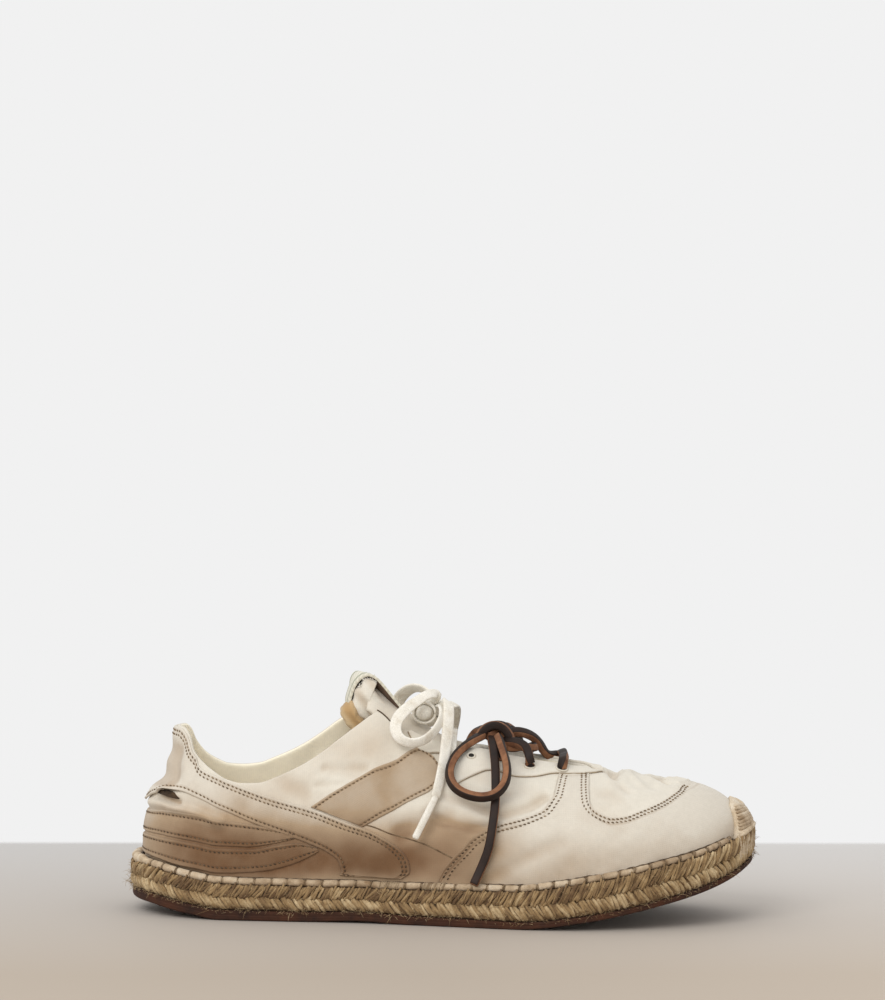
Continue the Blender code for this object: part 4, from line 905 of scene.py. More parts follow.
def bar_route(station, thickness):
    """A taut bar: up out of one eyelet, over the eyestay's edges and the tongue, down the other."""
    turn, half = station_turn(station), throat_half(station)
    over = EYESTAY_TOP + thickness / 2 + 0.15
    route = []
    for side in SIDES:
        places = ((half + EYELET_INSET, 0.4), (half + EYELET_INSET - 1.8, over + 0.5), (half + 1, over + 0.3),
                  (half - 4, over - 0.2))
        line = [skin(turn, girth_at_width(station, w, side), side, lift) for w, lift in places]
        line.append(shell(turn, 1, side, np.array(over - 0.9)))
        route += line if side == LATERAL else line[-2::-1]
    return route


def eyelet_at(station, side, lift=0):
    """Middle of an eyelet on the eyestay and the direction out of it."""
    girth = girth_at_width(station, throat_half(station) + EYELET_INSET, side)
    turn = station_turn(station)
    return skin(turn, girth, side, EYESTAY_TOP + lift), normal(turn, girth, side)


def into_eyelet(run, station, side, above):
    """A run of leather lace that ends down an eyelet."""
    return [np.array(p) for p in run] + [eyelet_at(station, side, lift)[0] for lift in (above, -1.2)]


# the second bar starts under the knot, because the near run has its lateral eyelet
second = [np.array(p) for p in ((158.5, -6.5, 73.6), (162, -7.5, 72.6), (165.6, -5, 72.8))]
second += bar_route(EYELETS[1], THONG[1])[4:]
for k, (route, tilt) in enumerate(((bar_route(EYELETS[0], THONG[1]), 18), (second, 18),
                                   (bar_route(EYELETS[2], THONG[1]), 18),
                                   (into_eyelet(THONG_RUN_NEAR, EYELETS[1], LATERAL, 1.8), -20),
                                   (into_eyelet(THONG_RUN_FAR, EYELETS[0], MEDIAL, 1.6), -20))):
    thong(f"leather_lace_bar_{k + 1}", route, UPWARD, tilt, nodes="leather_lace_bars")
ribbon("tape_lace_bar", bar_route(EYELETS[4], TAPE[1]), UPWARD, nodes="tape_lace_bar")


def knot_piece(name, centre, radii, shape, made_of, node, slot, lean=0.5, turns=1, tilt=0):
    """A turn of lace laid round a knot: an ellipse along the shoe, leaning as it goes, facing outwards."""
    angle = np.linspace(0, 2 * np.pi * turns, 40)
    path = np.array(centre) + np.stack([radii[0] * np.cos(angle), lean * (angle / np.pi - turns),
                                        radii[1] * np.sin(angle)], -1)
    up = (path - centre) * (1, 0, 1) / (radii[0]**2, 1, radii[1]**2)
    rings = carry(path, up, turned_by(shape, tilt))
    pick = leather_faces(rings[None], shape) if made_of is LEATHER else None
    return tubes(name, rings, made_of, pick=pick, tone=0.5, nodes=node, slot=slot)


kx, ky, kz = THONG_KNOT
for k, (dx, dy, dz, lean) in enumerate(((0, -1.9, 0.3, 0.6), (0.6, 1.7, 0, -0.5))):
    knot_piece(f"leather_lace_knot_{k + 1}", (kx + dx, ky + dy, kz + dz), (4.4, 2.6), square(*THONG), LEATHER,
               "leather_lace_knot", "leather", lean, tilt=30)
thong("leather_lace_knot_core", [(kx - 3.4, ky - 6.2, kz - 1), (kx - 1, ky - 3, kz), (kx + 1, ky + 3, kz),
                                 (kx - 2, ky + 6, kz - 0.8)], UPWARDS, 20, nodes="leather_lace_knot")
thong("leather_lace_knot_arch", [(147.6, -7.4, 76.2), (149.6, -7.2, 79.8), (154.2, -6.4, 82.2), (158.8, -5.6, 80.4),
                                 (161.4, -6, 76), (161.2, -6, 72.8)], (0, -0.9, 0.4), -24, nodes="leather_lace_knot")
kx, ky, kz = TAPE_KNOT
for k, (dx, dy, dz, lean) in enumerate(((-0.4, -1.4, 0.2, 0.5), (0.5, 2.2, 0, -0.6))):
    knot_piece(f"tape_lace_knot_{k + 1}", (kx + dx, ky + dy, kz + dz), (4.6, 3.5), square(TAPE[0], 1.5, *TAPE_EDGE),
               COTTON, "tape_lace_knot", "tape", lean)
# a roll of the tape, seen end on inside the near loop: a rounded stub within a turn of tape, each
# row a radius and a depth behind the stub's face
stub = np.array([(0.2, 0), (1.6, 0.15), (2.6, 0.6), (3.2, 1.3), (3.5, 2.6), (4.7, 3.6), (4.7, 6)])
cord_along("tape_lace_knot_roll_1", np.array((124.4, -10.2, 87.4)) + stub[:, 1:] * ACROSS, stub[:, 0], COTTON, 24,
           tone=0.5, nodes="tape_lace_knot", slot="tape")
knot_piece("tape_lace_knot_roll_2", (124.5, -6.4, 87.2), (4.8, 4.3), square(4.4, 1.3, *TAPE_EDGE), COTTON,
           "tape_lace_knot", "tape", 0.3, 1.6)
ribbon("tape_lace_knot_core", [(kx - 3.6, ky - 5.6, kz + 1.4), (kx, ky - 2, kz + 0.4), (kx, ky + 2, kz + 0.4),
                               (kx - 3.6, ky + 5.6, kz + 1.4)], UPWARDS, size=(4.6, 3.6), nodes="tape_lace_knot")


# ---------------------------------------------------------------- upper and its overlays

EDGE_ROUND = 0.75          # radius of a folded canvas edge
RAIL_ROWS = np.array([0, .08, .22, .42, .7, 1, 1.3, 1.6, 1.9, 2.4, 3.1, 3.5, 3.8, 4.1, 4.8])  # in from an edge
EDGE_MARGIN = 0.008        # girth that an overlay keeps from the upper's top edge
SEWN_DEPTH = 0.24          # how far a sewn row pulls the cloth in
FULL_WIDTH = 10.6          # overlays narrower than this squeeze their edges and sewn rows together


def fold_over(distance, radius):
    """How far a rounded edge falls below its flat: radius * (1 - sqrt(1 - (1 - d / radius)^2))."""
    near = np.clip(1 - distance / radius, 0, 1)
    return radius * (1 - np.sqrt(1 - near**2))


def build_upper():
    """Hollow canvas shell: an outside and a lining joined round the top edge and the feather line.

    The columns run from the heel round the lateral side to the toe and back along the medial side.
    Over the vamp both sides share their last row, on the ridge.
    """
    turns = np.unique(np.concatenate([np.linspace(0, THROAT_END, 190), np.linspace(THROAT_END, 1, 60),
                                      station_turn([104.5, 110])]))
    closed = turns >= THROAT_END - 1e-9
    share = np.concatenate([np.linspace(0, 0.955, 74), [0.968, 0.978, 0.985, 0.991, 0.995, 0.998, 1]])
    inner_share = np.concatenate([[1, 0.996, 0.985], np.linspace(0.96, 0, 22)])
    layers, dirt_and_shade = [], []
    for rows, base, sign, end, amount in ((share, 0, -1, -1, 1), (inner_share, -WALL, 1, 0, 0.35)):
        near, far, soils = [], [], []
        for side, half in ((LATERAL, near), (MEDIAL, far)):
            top = edge_girth(turns, side)[:, None]
            climb = surface(turns[:, None], top * np.linspace(0, 1, 40), side)
            length = np.linalg.norm(np.diff(climb, axis=1), axis=2).sum(1)[:, None]
            free = np.clip((THROAT_END - turns) / 0.02, 0, 1)[:, None]
            rounded = base + sign * fold_over((1 - rows) * length, EDGE_ROUND) * free
            half.append(skin(turns[:, None], top * rows, side, rounded))
            # each layer's share of dirt and painted shade; the lining takes 0.35 of the outside's
            soils.append(amount * soil(turns[:, None], top * rows, side))
        near, far = near[0], far[0]
        near[closed, end] = far[closed, end] = (near[closed, end] + far[closed, end]) / 2
        near[[0, -1]] = (near[[0, -1]] + far[[0, -1]]) / 2
        layers.append(np.concatenate([near, far[-2:0:-1]]))
        dirt_and_shade.append(np.concatenate([soils[0], soils[1][-2:0:-1]]))
    half, n, m, inner = len(turns), len(layers[0]), len(share), len(inner_share)
    outer_at = np.arange(n * m).reshape(n, m)
    inner_at = n * m + np.arange(n * inner).reshape(n, inner)
    # over the vamp the medial side's last row is the lateral side's
    back = np.arange(half, n)
    twin = 2 * half - 2 - back
    for grid, end in ((outer_at, -1), (inner_at, 0)):
        grid[back, end] = np.where(closed[twin], grid[twin, end], grid[back, end])
    o, i = np.roll(outer_at, -1, 0), np.roll(inner_at, -1, 0)
    walls = [np.stack([g[:, :-1], h[:, :-1], h[:, 1:], g[:, 1:]], -1).reshape(-1, 4)
             for g, h in ((outer_at, o), (inner_at, i))]
    feather = np.stack([inner_at[:, -1], i[:, -1], o[:, 0], outer_at[:, 0]], -1)
    shut = closed[np.minimum(np.arange(n), 2 * half - 2 - np.arange(n))]
    rim = np.stack([outer_at[:, -1], o[:, -1], i[:, 0], inner_at[:, 0]], -1)[~(shut & np.roll(shut, -1))]
    faces = np.concatenate([walls[0], feather, rim, walls[1]])
    pick = np.arange(len(faces)) >= len(faces) - len(walls[1])
    s = turn_station(turns)
    s = np.concatenate([s, s[-2:0:-1]])[:, None]
    uv = [np.stack(np.broadcast_arrays(s, rows * CLIMB), -1).reshape(-1, 2) for rows in (share, inner_share)]
    used, faces = np.unique(faces, return_inverse=True)
    points = np.concatenate([layer.reshape(-1, 3) for layer in layers])[used]
    return put("upper", points, faces.reshape(-1, 4), [CREAM, LINING], "upper", "cream_canvas", pick,
               np.concatenate(uv)[used], soil=np.concatenate([d.ravel() for d in dirt_and_shade])[used])


def between(rows, t, r, side):
    """Turn and girth at a share r of the way from an overlay's lower rail to its upper one."""
    rails = {"row": np.arange(len(rows["low_girth"]))}
    for end in ("low", "high"):
        rails[end + "_turn"], rails[end] = station_turn(rows[end + "_station"]), rows[end + "_girth"] / 100
    low_turn, low, high_turn, high = (along(rails, name, t, "row") for name in ("low_turn", "low", "high_turn", "high"))
    limit = edge_girth(high_turn, side) - EDGE_MARGIN * (high_turn < THROAT_END)
    return low_turn * (1 - r) + high_turn * r, low * (1 - r) + np.minimum(high, limit) * r


def columns(rows, step, side):
    """Places along an overlay's table about a step apart, by whichever of its lines is longest."""
    last = len(rows["low_girth"]) - 1
    t = np.linspace(0, last, 24 * last + 1)
    lines = surface(*between(rows, t[:, None], np.array([[0, 0.5, 1]]), side), side)
    at = np.concatenate([[0], np.cumsum(np.linalg.norm(np.diff(lines, axis=0), axis=2).max(1))])
    return np.interp(np.linspace(0, at[-1], int(at[-1] / step) + 2), at, t), at[-1]


def width_of(rows, t, side):
    """Width of an overlay across the surface, at places along its table."""
    lines = surface(*between(rows, t[:, None], np.linspace(0, 1, 9)[None], side), side)
    return np.maximum(np.linalg.norm(np.diff(lines, axis=1), axis=2).sum(1), 0.05)


def joined(halves):
    """The lateral half's rows reversed and the medial half's after them, or the only half."""
    return halves[0] if len(halves) == 1 else np.concatenate([halves[0][::-1], halves[1][1:]])


def sheet(name, rows, made_of=None, sides=tuple(SIDES), top=0.95, extra=None, sewn=((), ()), middle=14,
          step=1, nodes=(), slot="sand_canvas", dirt_and_shade=0):
    """A canvas overlay: a slab over the worn cloth between its rails, edges rounded, sewn rows sunk.

    Offset = its face's height - rounding at the edges - its depth * exp(-((d - row) / 0.5)^2) at each
    sewn row, with a small pucker along the rows, plus whatever the piece stands off by.
    """
    t, length = columns(rows, step, LATERAL)
    halves, shades, cloth = [], [], []
    for side in sides:
        width = width_of(rows, t, side)[:, None]
        squeeze = np.minimum(1, width / FULL_WIDTH)
        low = RAIL_ROWS * squeeze
        high = width - low[:, ::-1]
        centre = low[:, -1:] + (high[:, :1] - low[:, -1:]) * np.linspace(0, 1, middle + 2)[1:-1]
        d = np.concatenate([low, centre, high], 1)
        turn, girth = between(rows, t[:, None], d / width, side)
        at = np.linspace(0, length, len(t))[:, None]
        sunk = sum(np.exp(-((d / squeeze - row) / 0.5)**2) for row in sewn[0]) + sum(
            np.exp(-(((width - d) / squeeze - row) / 0.5)**2) for row in sewn[1]) + 0 * d
        edge = np.minimum(d, width - d)
        pucker = 0.09 * np.exp(-(edge / 3.5)**2) * (np.sin(at * 1.45) + 0.6 * np.sin(at * 0.83 + 1))
        free = extra(t[:, None], d / width, side) if extra else 0 * d
        face = skin(turn, girth, side, top + free - fold_over(edge, min(EDGE_ROUND, top) * squeeze) - SEWN_DEPTH * sunk
                    + pucker * bool(sewn[0] or sewn[1]))
        back = np.linspace(1, 0, 7)[None] + 0 * t[:, None]
        under_turn, under_girth = between(rows, t[:, None], back, side)
        under = skin(under_turn, under_girth, side, 0.03 + (extra(t[:, None], back, side) if extra else 0 * back))
        halves.append(np.concatenate([face, under], 1))
        # the sewn rows are painted a little darker, as shade in their grooves
        shades.append(np.concatenate([np.clip(soil(turn, girth, side) + 0.16 * sunk + dirt_and_shade, 0, 1),
                                      soil(under_turn, under_girth, side)], 1))
        cloth.append(np.concatenate([np.stack([at + 0 * d, d], -1), np.stack([at + 0 * back, back * width], -1)], 1))
    rings, shade, uv = joined(halves), joined(shades), joined(cloth)
    points, faces = tube_faces(rings[None])
    ends = uv[[0, -1]].mean(1)
    return put(name, points, faces, made_of or SAND, nodes or name, slot,
               uv=np.concatenate([uv.reshape(-1, 2), ends]),
               soil=np.concatenate([shade.ravel(), shade[[0, -1]].mean(1)]))


def seam(rows, distance, edge, side, top=0.95, extra=None, first=0, last=99):
    """Line of a sewn row on an overlay, a distance in from one of its edges, between two rows of its table.

    Gives points, normals and the share of dirt and painted shade.
    """
    t, _ = columns(rows, 0.5, side)
    t = t[(t >= first) & (t <= last)]
    width = width_of(rows, t, side)
    d = distance * np.minimum(1, width / FULL_WIDTH)
    r = d / width if edge == "low" else 1 - d / width
    return on_cloth(*between(rows, t, r, side), side, top + (extra(t, r, side) if extra else 0) - 0.2)


def row_inside(rows, distance, side, lift, first, last):
    """A sewn row a distance inside an overlay's upper edge, square to it, between two rows of its table."""
    t = np.arange(first, last, 0.05)
    turn, girth = between(rows, t, np.ones(len(t)), side)
    p = evenly(np.stack([turn_station(turn), girth * CLIMB], -1), 0.5)
    ahead = unit(np.gradient(p, axis=0))
    p = p + distance * np.stack([-ahead[:, 1], ahead[:, 0]], -1)
    return on_cloth(station_turn(p[:, 0]), p[:, 1] / CLIMB, side, lift)


def line_on(stations_girths, side, lift):
    """Line on the worn cloth through foot stations and girths in hundredths: points, normals, dirt and painted shade.
    """
    p = smooth_route(np.array(stations_girths, float) * (1, CLIMB / 100), 0.5)
    return on_cloth(station_turn(p[:, 0]), p[:, 1] / CLIMB, side, lift)


def stitches(name, runs, made_of=None, pitch=STITCH, radius=THREAD, slot="sand_canvas", tone=0.42):
    """Machine stitches: short dark threads, each rising out of the cloth and diving back, with cloth between."""
    f = np.array([0, 0.22, 0.5, 0.78, 1])
    high = np.array([-0.2, 0.12, 0.2, 0.12, -0.2])
    rings, shades = [], []
    for path, out, dirt_and_shade in runs:
        at = distances(path)
        count = int(at[-1] / pitch)
        where = (np.arange(count)[:, None] + 0.25 + 0.48 * f) * pitch + jitter(count, 0.08)[:, None]
        p, up = points_at(path, where, at), unit(points_at(out, where, at))
        side = unit(np.cross(np.gradient(p, axis=1), up))
        p = p + up * high[:, None] + side * ((f - 0.5) * 0.4)[:, None]
        rings.append(carry(p, up, circle(5, radius) * np.array([0.8, 1, 1, 1, 0.8])[:, None, None]))
        # each stitch is darker where the cloth under it carries dirt and painted shade
        shades.append(tone - 0.35 * np.interp(where[:, 2], at, dirt_and_shade) + jitter(count, 0.14))
    return tubes(name, np.concatenate(rings), made_of or THREAD_TAN, tone=np.clip(np.concatenate(shades), 0, 1),
                 slot=slot, nodes="upper")


build_upper()


def strap_stands_off(t, r, side):
    """The heel strap's foot hangs off the heel like a lip, most beside the heel: (1 - r)^3.5 of its gap there."""
    gap = 0.6 * np.exp(-(t / 1.2)**2) + (3.2 if side == LATERAL else 1.6) * np.exp(-((t - 1.9) / 0.9)**2)
    return gap * (1 - r)**3.5


def counter_stands_off(t, r, side):
    """The lower counter gapes along its foot, 1.5 mm at most, behind the heel's side."""
    return (1.5 if side == LATERAL else 0.7) * np.exp(-((t - 2.1) / 1.3)**2) * (1 - r)**3


# the upper counter stops at a sewn edge, and the cloth above it is rucked up under the strap
sheet("counter_upper", COUNTER_UPPER, top=0.8, sewn=((1.7,), (1.6,)), middle=12)
sheet("counter_lower", COUNTER_LOWER, top=0.85, extra=counter_stands_off, sewn=((2.4,), (1.7,)), middle=10)
for side in SIDES:
    sheet("saddle_" + SIDES[side], SADDLE, sides=(side,), top=0.8, sewn=((1.6,), (1.6,)), middle=16, dirt_and_shade=0.40)
sheet("heel_strap", HEEL_STRAP, top=1.05, extra=strap_stands_off, sewn=((1.8,), (1.6, 2.9)), middle=18)
sheet("toe_guard", TOE_GUARD, top=0.5, sewn=((), (1.6, 3.5)), middle=26, step=1.1)
sheet("eyestay", EYESTAY, CREAM, top=EYESTAY_TOP, middle=12, slot="cream_canvas")

stitches("strap_stitching", [seam(HEEL_STRAP, d, edge, side, 1.05, extra, last=last) for d, edge, extra, last in (
    (1.8, "low", strap_stands_off, 13.2), (1.5, "high", None, 13.6), (3.1, "high", None, 13.6)) for side in SIDES])
stitches("counter_stitching", [seam(rows, d, edge, side, top, extra) for rows, d, edge, top, extra in (
    (COUNTER_UPPER, 1.6, "high", 0.8, None), (COUNTER_UPPER, 1.7, "low", 0.8, None),
    (COUNTER_LOWER, 1.7, "high", 0.85, None), (COUNTER_LOWER, 2.4, "low", 0.85, counter_stands_off)) for side in SIDES])
stitches("saddle_stitching", [seam(SADDLE, 1.6, edge, side, 0.8) for edge in ("low", "high") for side in SIDES])
stitches("guard_stitching", [row_inside(TOE_GUARD, d, side, 0.45, first, last) for d in (1.6, 3.6)
                             for first, last in ((1.6, 14.9), (16.1, 28.8)) for side in SIDES])


def thin_edge(name, lines, radius, made_of, tone, flat=0.8, slot="cream_canvas"):
    """A fine cord or turned edge lying along lines on the cloth, here dark lines of painted shade along hems and edges.
    """
    points, faces, start = [], [], 0
    for path, out, _ in lines:
        p, f = tube_faces(carry(path, out, circle(6, radius, flat))[None])
        points.append(p)
        faces.append(f + start)
        start += len(p)
    return put(name, np.concatenate(points), np.concatenate(faces), made_of, "upper", slot, tone=tone)


# the vamp's hem shows as a fine shadowed line, and the eyestay's lower edge as a tan line of painted shade
thin_edge("vamp_hem", [line_on(HEM, side, 0.02) for side in SIDES], 0.3, NEEDLE, 0.75)
thin_edge("eyestay_edge_shade", [seam(EYESTAY, 0.1, "low", side, 0.55) for side in SIDES], 0.3, THREAD_TAN, 0.7)

# the gap in the shade under the heel strap's foot, beside the heel
shade_line = line_on(((8.6, 38.6), (11, 39.2), (14, 39.4), (17, 39), (19, 38.4)), LATERAL, 0.1)
full = np.sin(np.linspace(0.08, np.pi - 0.08, len(shade_line[0])))**0.6
tubes("strap_shade", carry(shade_line[0], shade_line[1], circle(10, 1.5, 0.5) * full[:, None, None]), NEEDLE, tone=0.2,
      nodes="upper", slot="sand_canvas")


def throat_line(side):
    """Shade in the gap between the upper's front edge and the tongue."""
    turn = station_turn(np.arange(105, 113, 0.4))
    return on_cloth(turn, edge_girth(turn, side) + 0.012, side, -0.9)


thin_edge("throat_shade", [throat_line(side) for side in SIDES], 0.34, NEEDLE, 0.3)


# ---------------------------------------------------------------- sole

RIM_AT = distances(np.concatenate([OUTLINE, OUTLINE[:1]]))
RIM_AT, RIM_LENGTH = RIM_AT[:-1], float(RIM_AT[-1])


def rim_value(at, values):
    """A number given at every point of the outline, read a distance round it."""
    return np.interp(at, RIM_AT, values, period=RIM_LENGTH)


def rim_out(at):
    """Level direction out of the sole at a distance round its rim from the heel."""
    return unit(np.stack([*(-rim_value(at, INWARD[:, k]) for k in (0, 1)), 0 * at], -1))


def rim_place(at, inset, share, above=0):
    """Point a distance round the rim, inset from it, at a share of the braid's height plus a rise."""
    at, inset, share = grids(at, inset, share)
    p = np.stack([*(rim_value(at, OUTLINE[:, k]) for k in (0, 1)), 0 * at], -1) - rim_out(at) * inset[..., None]
    low = along(SOLE, "rise", p[..., 0]) + along(SOLE, "rubber", p[..., 0]) + GAP
    p[..., 2] = low + share * (sole_top(p[..., 0]) - GAP - low) + above
    return p


IN_JUTE = {"nodes": "jute_sole", "slot": "jute"}


def braid(name, spacing, low, high, slant, radius, dip, tone, per=3):
    """Leaning strands of braid: each crosses a band of the side and bows out, inset by dip |2f - 1|^2.4."""
    count = int(RIM_LENGTH / spacing)
    k = np.arange(count)
    at = k * RIM_LENGTH / count + jitter(count, 0.3 * spacing) - 0.18 * (k % per - (per - 1) / 2)
    f = np.linspace(0, 1, 9)
    lean = slant * (1 + jitter(count, 0.3))[:, None]
    share = (low + jitter(count, 0.045))[:, None] + (high - low) * f
    inset = radius + 0.1 + jitter(count, 0.3)[:, None] + dip * abs(2 * f - 1)**2.4
    wander = 0.25 * np.sin(5 * f + RANDOM.uniform(0, 6.3, count)[:, None])
    path = rim_place(at[:, None] + lean * (f - 0.5) + wander, inset, share)
    size = (radius * (1 + jitter(count, 0.22)))[:, None] * np.interp(f, [0, 0.15, 0.85, 1], [0.7, 1, 1, 0.7])
    made = carry(path, rim_out(at[:, None] + 0 * f), circle(6) * size[..., None, None])
    s = rim_value(at, OUTLINE[:, 0])
    ends = 0.16 * np.exp(-(s / 26)**2) + 0.16 * np.exp(-((s - 262) / 40)**2)
    shade = tone + ends + jitter(count, 0.2) + 0.1 * np.sin(k // per * 2.4) + 0.1 * np.sin(at / 9) * np.sin(at / 23)
    tubes(name, made, JUTE, tone=np.clip(shade, 0, 1), **IN_JUTE)


# the dark body that the strands lie on: a ring whose side follows both rows of braid
at = np.linspace(0, RIM_LENGTH, 420, endpoint=False)[:, None]
profile = np.array([(13, 0.02), (2.2, 0), (1.2, 0.1), (1, 0.27), (1.3, 0.42), (2.3, 0.5), (1.4, 0.58), (1.2, 0.75),
                    (1.2, 0.9), (1.7, 1.03), (13, 0.99)])
tubes("jute_core", rim_place(at, *profile.T), JUTE_CORE, looped=True, tone=0.7, **IN_JUTE)
# the upper rows take a darker tone than the lower, painted shade where they lie back under the piping
braid("jute_braid_lower", 1.35, 0.04, 0.60, -4.6, 0.80, 1.9, 0.56)
braid("jute_braid_upper", 1.5, 0.52, 1.03, 4.2, 0.76, 0.5, 0.30, per=2)
braid("jute_braid_upper_fine", 4.3, 0.58, 1.03, 2.2, 0.5, 0.4, 0.42, per=2)


def section_halves(profile, turns, height_at):
    """Both halves of the sole's sections, from a profile of (inset, level): (sections, points, 3) each."""
    halves = [], []
    for inset, level in profile:
        lines = inset_line(inset)
        s = turn_station(turns, *lines[0][[0, -1], 0])
        for half, line in zip(halves, lines):
            half.append(np.stack([s, np.interp(s, *line.T), height_at(s, level)], 1))
    return (np.stack(half, 1) for half in halves)


def spanned(near, far, place, f):
    """Points at shares f of the way across the sole, between one place of both halves."""
    return near[:, place, None] * (1 - f) + far[:, place, None] * f


def outsole():
    """Rubber tread: at every turn from heel to toe a section that goes down the lateral side, under and up."""
    side = [(9, 1), (1.3, 1), (0.95, 0.94), (0.9, 0.8), (0.9, 0.62), (1.05, 0.57), (0.9, 0.52), (0.9, 0.36),
            (1.05, 0.31), (0.95, 0.26), (1.2, 0.12), (1.7, 0.03), (2.3, 0)]
    near, far = section_halves(side, np.linspace(0, 1, 240),
                               lambda s, share: along(SOLE, "rise", s) + share * along(SOLE, "rubber", s))
    f = np.linspace(0, 1, 34)[1:-1, None]
    under = spanned(near, far, -1, f)
    zigzag = np.abs((under[..., 1] / 7) % 2 - 1)
    tread = 0.5 + 0.5 * np.sin(2 * np.pi * (under[..., 0] + 5 * zigzag) / 6.4)
    under[..., 2] += 0.9 * np.clip(tread * 3 - 1.6, 0, 1) * np.clip(10 * np.minimum(f, 1 - f)[:, 0], 0, 1)
    over = spanned(near, far, 0, f[::8])
    tubes("outsole", np.concatenate([near, under, far[:, ::-1], over[:, ::-1]], 1), RUBBER, nodes="outsole",
          slot="rubber")


def insole():
    """Footbed: a canvas covered board with a lip, dished a little, its top following the braid."""
    turns = np.linspace(0, 1, 150)
    edge = FEATHER + WALL + 0.6
    near, far = section_halves(((edge, 0.1), (edge, INSOLE - 0.8), (edge + 0.25, INSOLE - 0.35), (edge + 1, INSOLE)),
                               turns, lambda s, high: sole_top(s) + high)
    f = np.linspace(0, 1, 22)[1:-1, None]
    top = spanned(near, far, -1, f)
    top[..., 2] -= 0.7 * np.sin(np.pi * f[:, 0]) * np.interp(turns, [0, 0.1, 0.9, 1], [0, 1, 1, 0])[:, None]
    under = spanned(near, far, 0, f[::6])
    points, faces = tube_faces(np.concatenate([near, top, far[:, ::-1], under[:, ::-1]], 1)[None])
    worn = 0.25 + 0.3 * np.exp(-((points[:, 0] - 40) / 26)**2) + 0.35 * np.exp(-((points[:, 0] - 185) / 40)**2)
    put("insole", points, faces, LINING, "insole", "sand_canvas", uv=points[:, :2], soil=worn)


outsole()
insole()

BUMPER_REAR = 257.5
# piping in the corner between upper and sole, from the toe bumper round the heel and back
halfway = RIM_AT[np.argmax(OUTLINE[:, 0])]
behind_toe = OUTLINE[:, 0] < BUMPER_REAR
before = RIM_AT[(RIM_AT < halfway) & behind_toe].max()
after = RIM_AT[(RIM_AT > halfway) & behind_toe].min() - RIM_LENGTH
gaps = np.arange(math.ceil(after / WHIP), math.floor(before / WHIP) + 1) * WHIP
gaps = gaps + jitter(len(gaps), 0.35)


def rand_place(at, out=0, high=0):
    """Point on the piping's own line, moved out of the shoe and up."""
    p = rim_place(at, RAND_INSET - out, 1)
    p[..., 2] = sole_top(p[..., 0]) + RAND_RADIUS - 0.1 + high
    return p


at = np.arange(after, before, 0.45)
near_gap = np.abs(at[:, None] - gaps).min(1)
thin = rim_value(at, np.interp(OUTLINE[:, 0], (0, 20, 200, 262), (1.66, 1.66, 1.45, 1.3)))
radius = thin - 0.5 * np.exp(-(near_gap / 0.55)**2) + 0.05 * np.sin(at * 1.7)
line = rand_place(at, 0.12 * np.sin(at * 0.31), 0.14 * np.sin(at * 0.23 + 1) - 0.12 * np.exp(-(near_gap / 1)**2))
# the piping is darker at each pinch of the whipping, painted shade in the pinch
tone = 0.42 + 0.14 * np.sin(at / 23) + 0.1 * np.sin(at / 5.1) - 0.2 * np.exp(-(near_gap / 0.6)**2)
cord_along("rand_piping", line, radius, RAND, tone=tone, nodes="rand_cord", slot="cream_canvas")


def wraps(places, lean, thread, over=1.02):
    """Threads wound round the piping: small closed rings square to it, leaning as they pass over."""
    angle = np.linspace(0, 2 * np.pi, 12, endpoint=False)
    at = places[:, None] + lean * np.sin(angle)
    out, high = (over + thread) * np.cos(angle), (over + thread) * np.sin(angle)
    p = rand_place(at, 0, high) + rim_out(at) * out[:, None]
    return carry(p, unit(p - rand_place(at)), circle(5, thread), looped=True)


pairs = np.sort(np.concatenate([gaps - 0.38, gaps + 0.38]))
tubes("rand_whipping", wraps(pairs, 0.35, 0.24), THREAD_TAN, looped=True, tone=RANDOM.uniform(0.3, 0.7, len(pairs)),
      nodes="rand_cord", slot="jute")
spots = np.concatenate([start + np.arange(0, length, 0.62) for start, length in
                        ((RIM_AT[np.argmax(OUTLINE[:, 0] > s)], n) for s, n in ((106.5, 8), (125, 9)))])
tubes("rand_mends", wraps(spots + jitter(len(spots), 0.15), 0.5, 0.27, 1.35), THREAD_TAN, looped=True,
      tone=RANDOM.uniform(0.5, 0.9, len(spots)), nodes="rand_cord", slot="jute")

# the whip stitches go on down over the braid, one from each gap
f = np.linspace(0, 1, 9)
drop = gaps[:, None] - 1 - 3.2 * f + jitter(len(gaps), 0.5)[:, None]
inset = np.interp(f, [0, 0.15, 0.4, 0.8, 1], [1.2, 0.1, -0.25, 0.2, 2.2])
share = np.interp(f, [0, 0.15, 0.4, 0.8, 1], [1.14, 1.02, 0.85, 0.58, 0.47])
path = rim_place(drop, inset + 0.3, share)
tubes("whip_stitches", carry(path, rim_out(drop), circle(6, 0.46)), JUTE, tone=RANDOM.uniform(0.15, 0.45, len(gaps)),
      **IN_JUTE)

# round the heel the jute laps up over the piping
at = np.arange(-19, 19.1, 0.6)
line = rand_place(at, 0.55 + 0.15 * np.sin(at * 0.9), 0.35 + 0.2 * np.sin(at * 0.53))
size = 2.05 * np.clip((19.6 - abs(at)) / 6, 0, 1)**0.4 + 0.1 * np.sin(at * 2.3)
cord_along("heel_lip", line, size, JUTE_PALE, tone=0.45 + 0.15 * np.sin(at * 1.1), nodes="rand_cord", slot="jute")

# a dark cord along the foot of the upper, inside the piping: painted shade in the gap between upper and piping
at = np.arange(after, before, 1.2)
line = rim_place(at, 4.75, 1)
line[:, 2] = sole_top(line[:, 0]) + 2 * RAND_RADIUS - 0.55 + 0.1 * np.sin(at * 1.3)
cord_along("piping_gap_shade", line, 0.5 + 0 * at, THREAD_TAN, 6, tone=0.08 + 0.1 * np.sin(at * 2.1), nodes="upper",
           slot="sand_canvas")


YARN_RINGS = 44


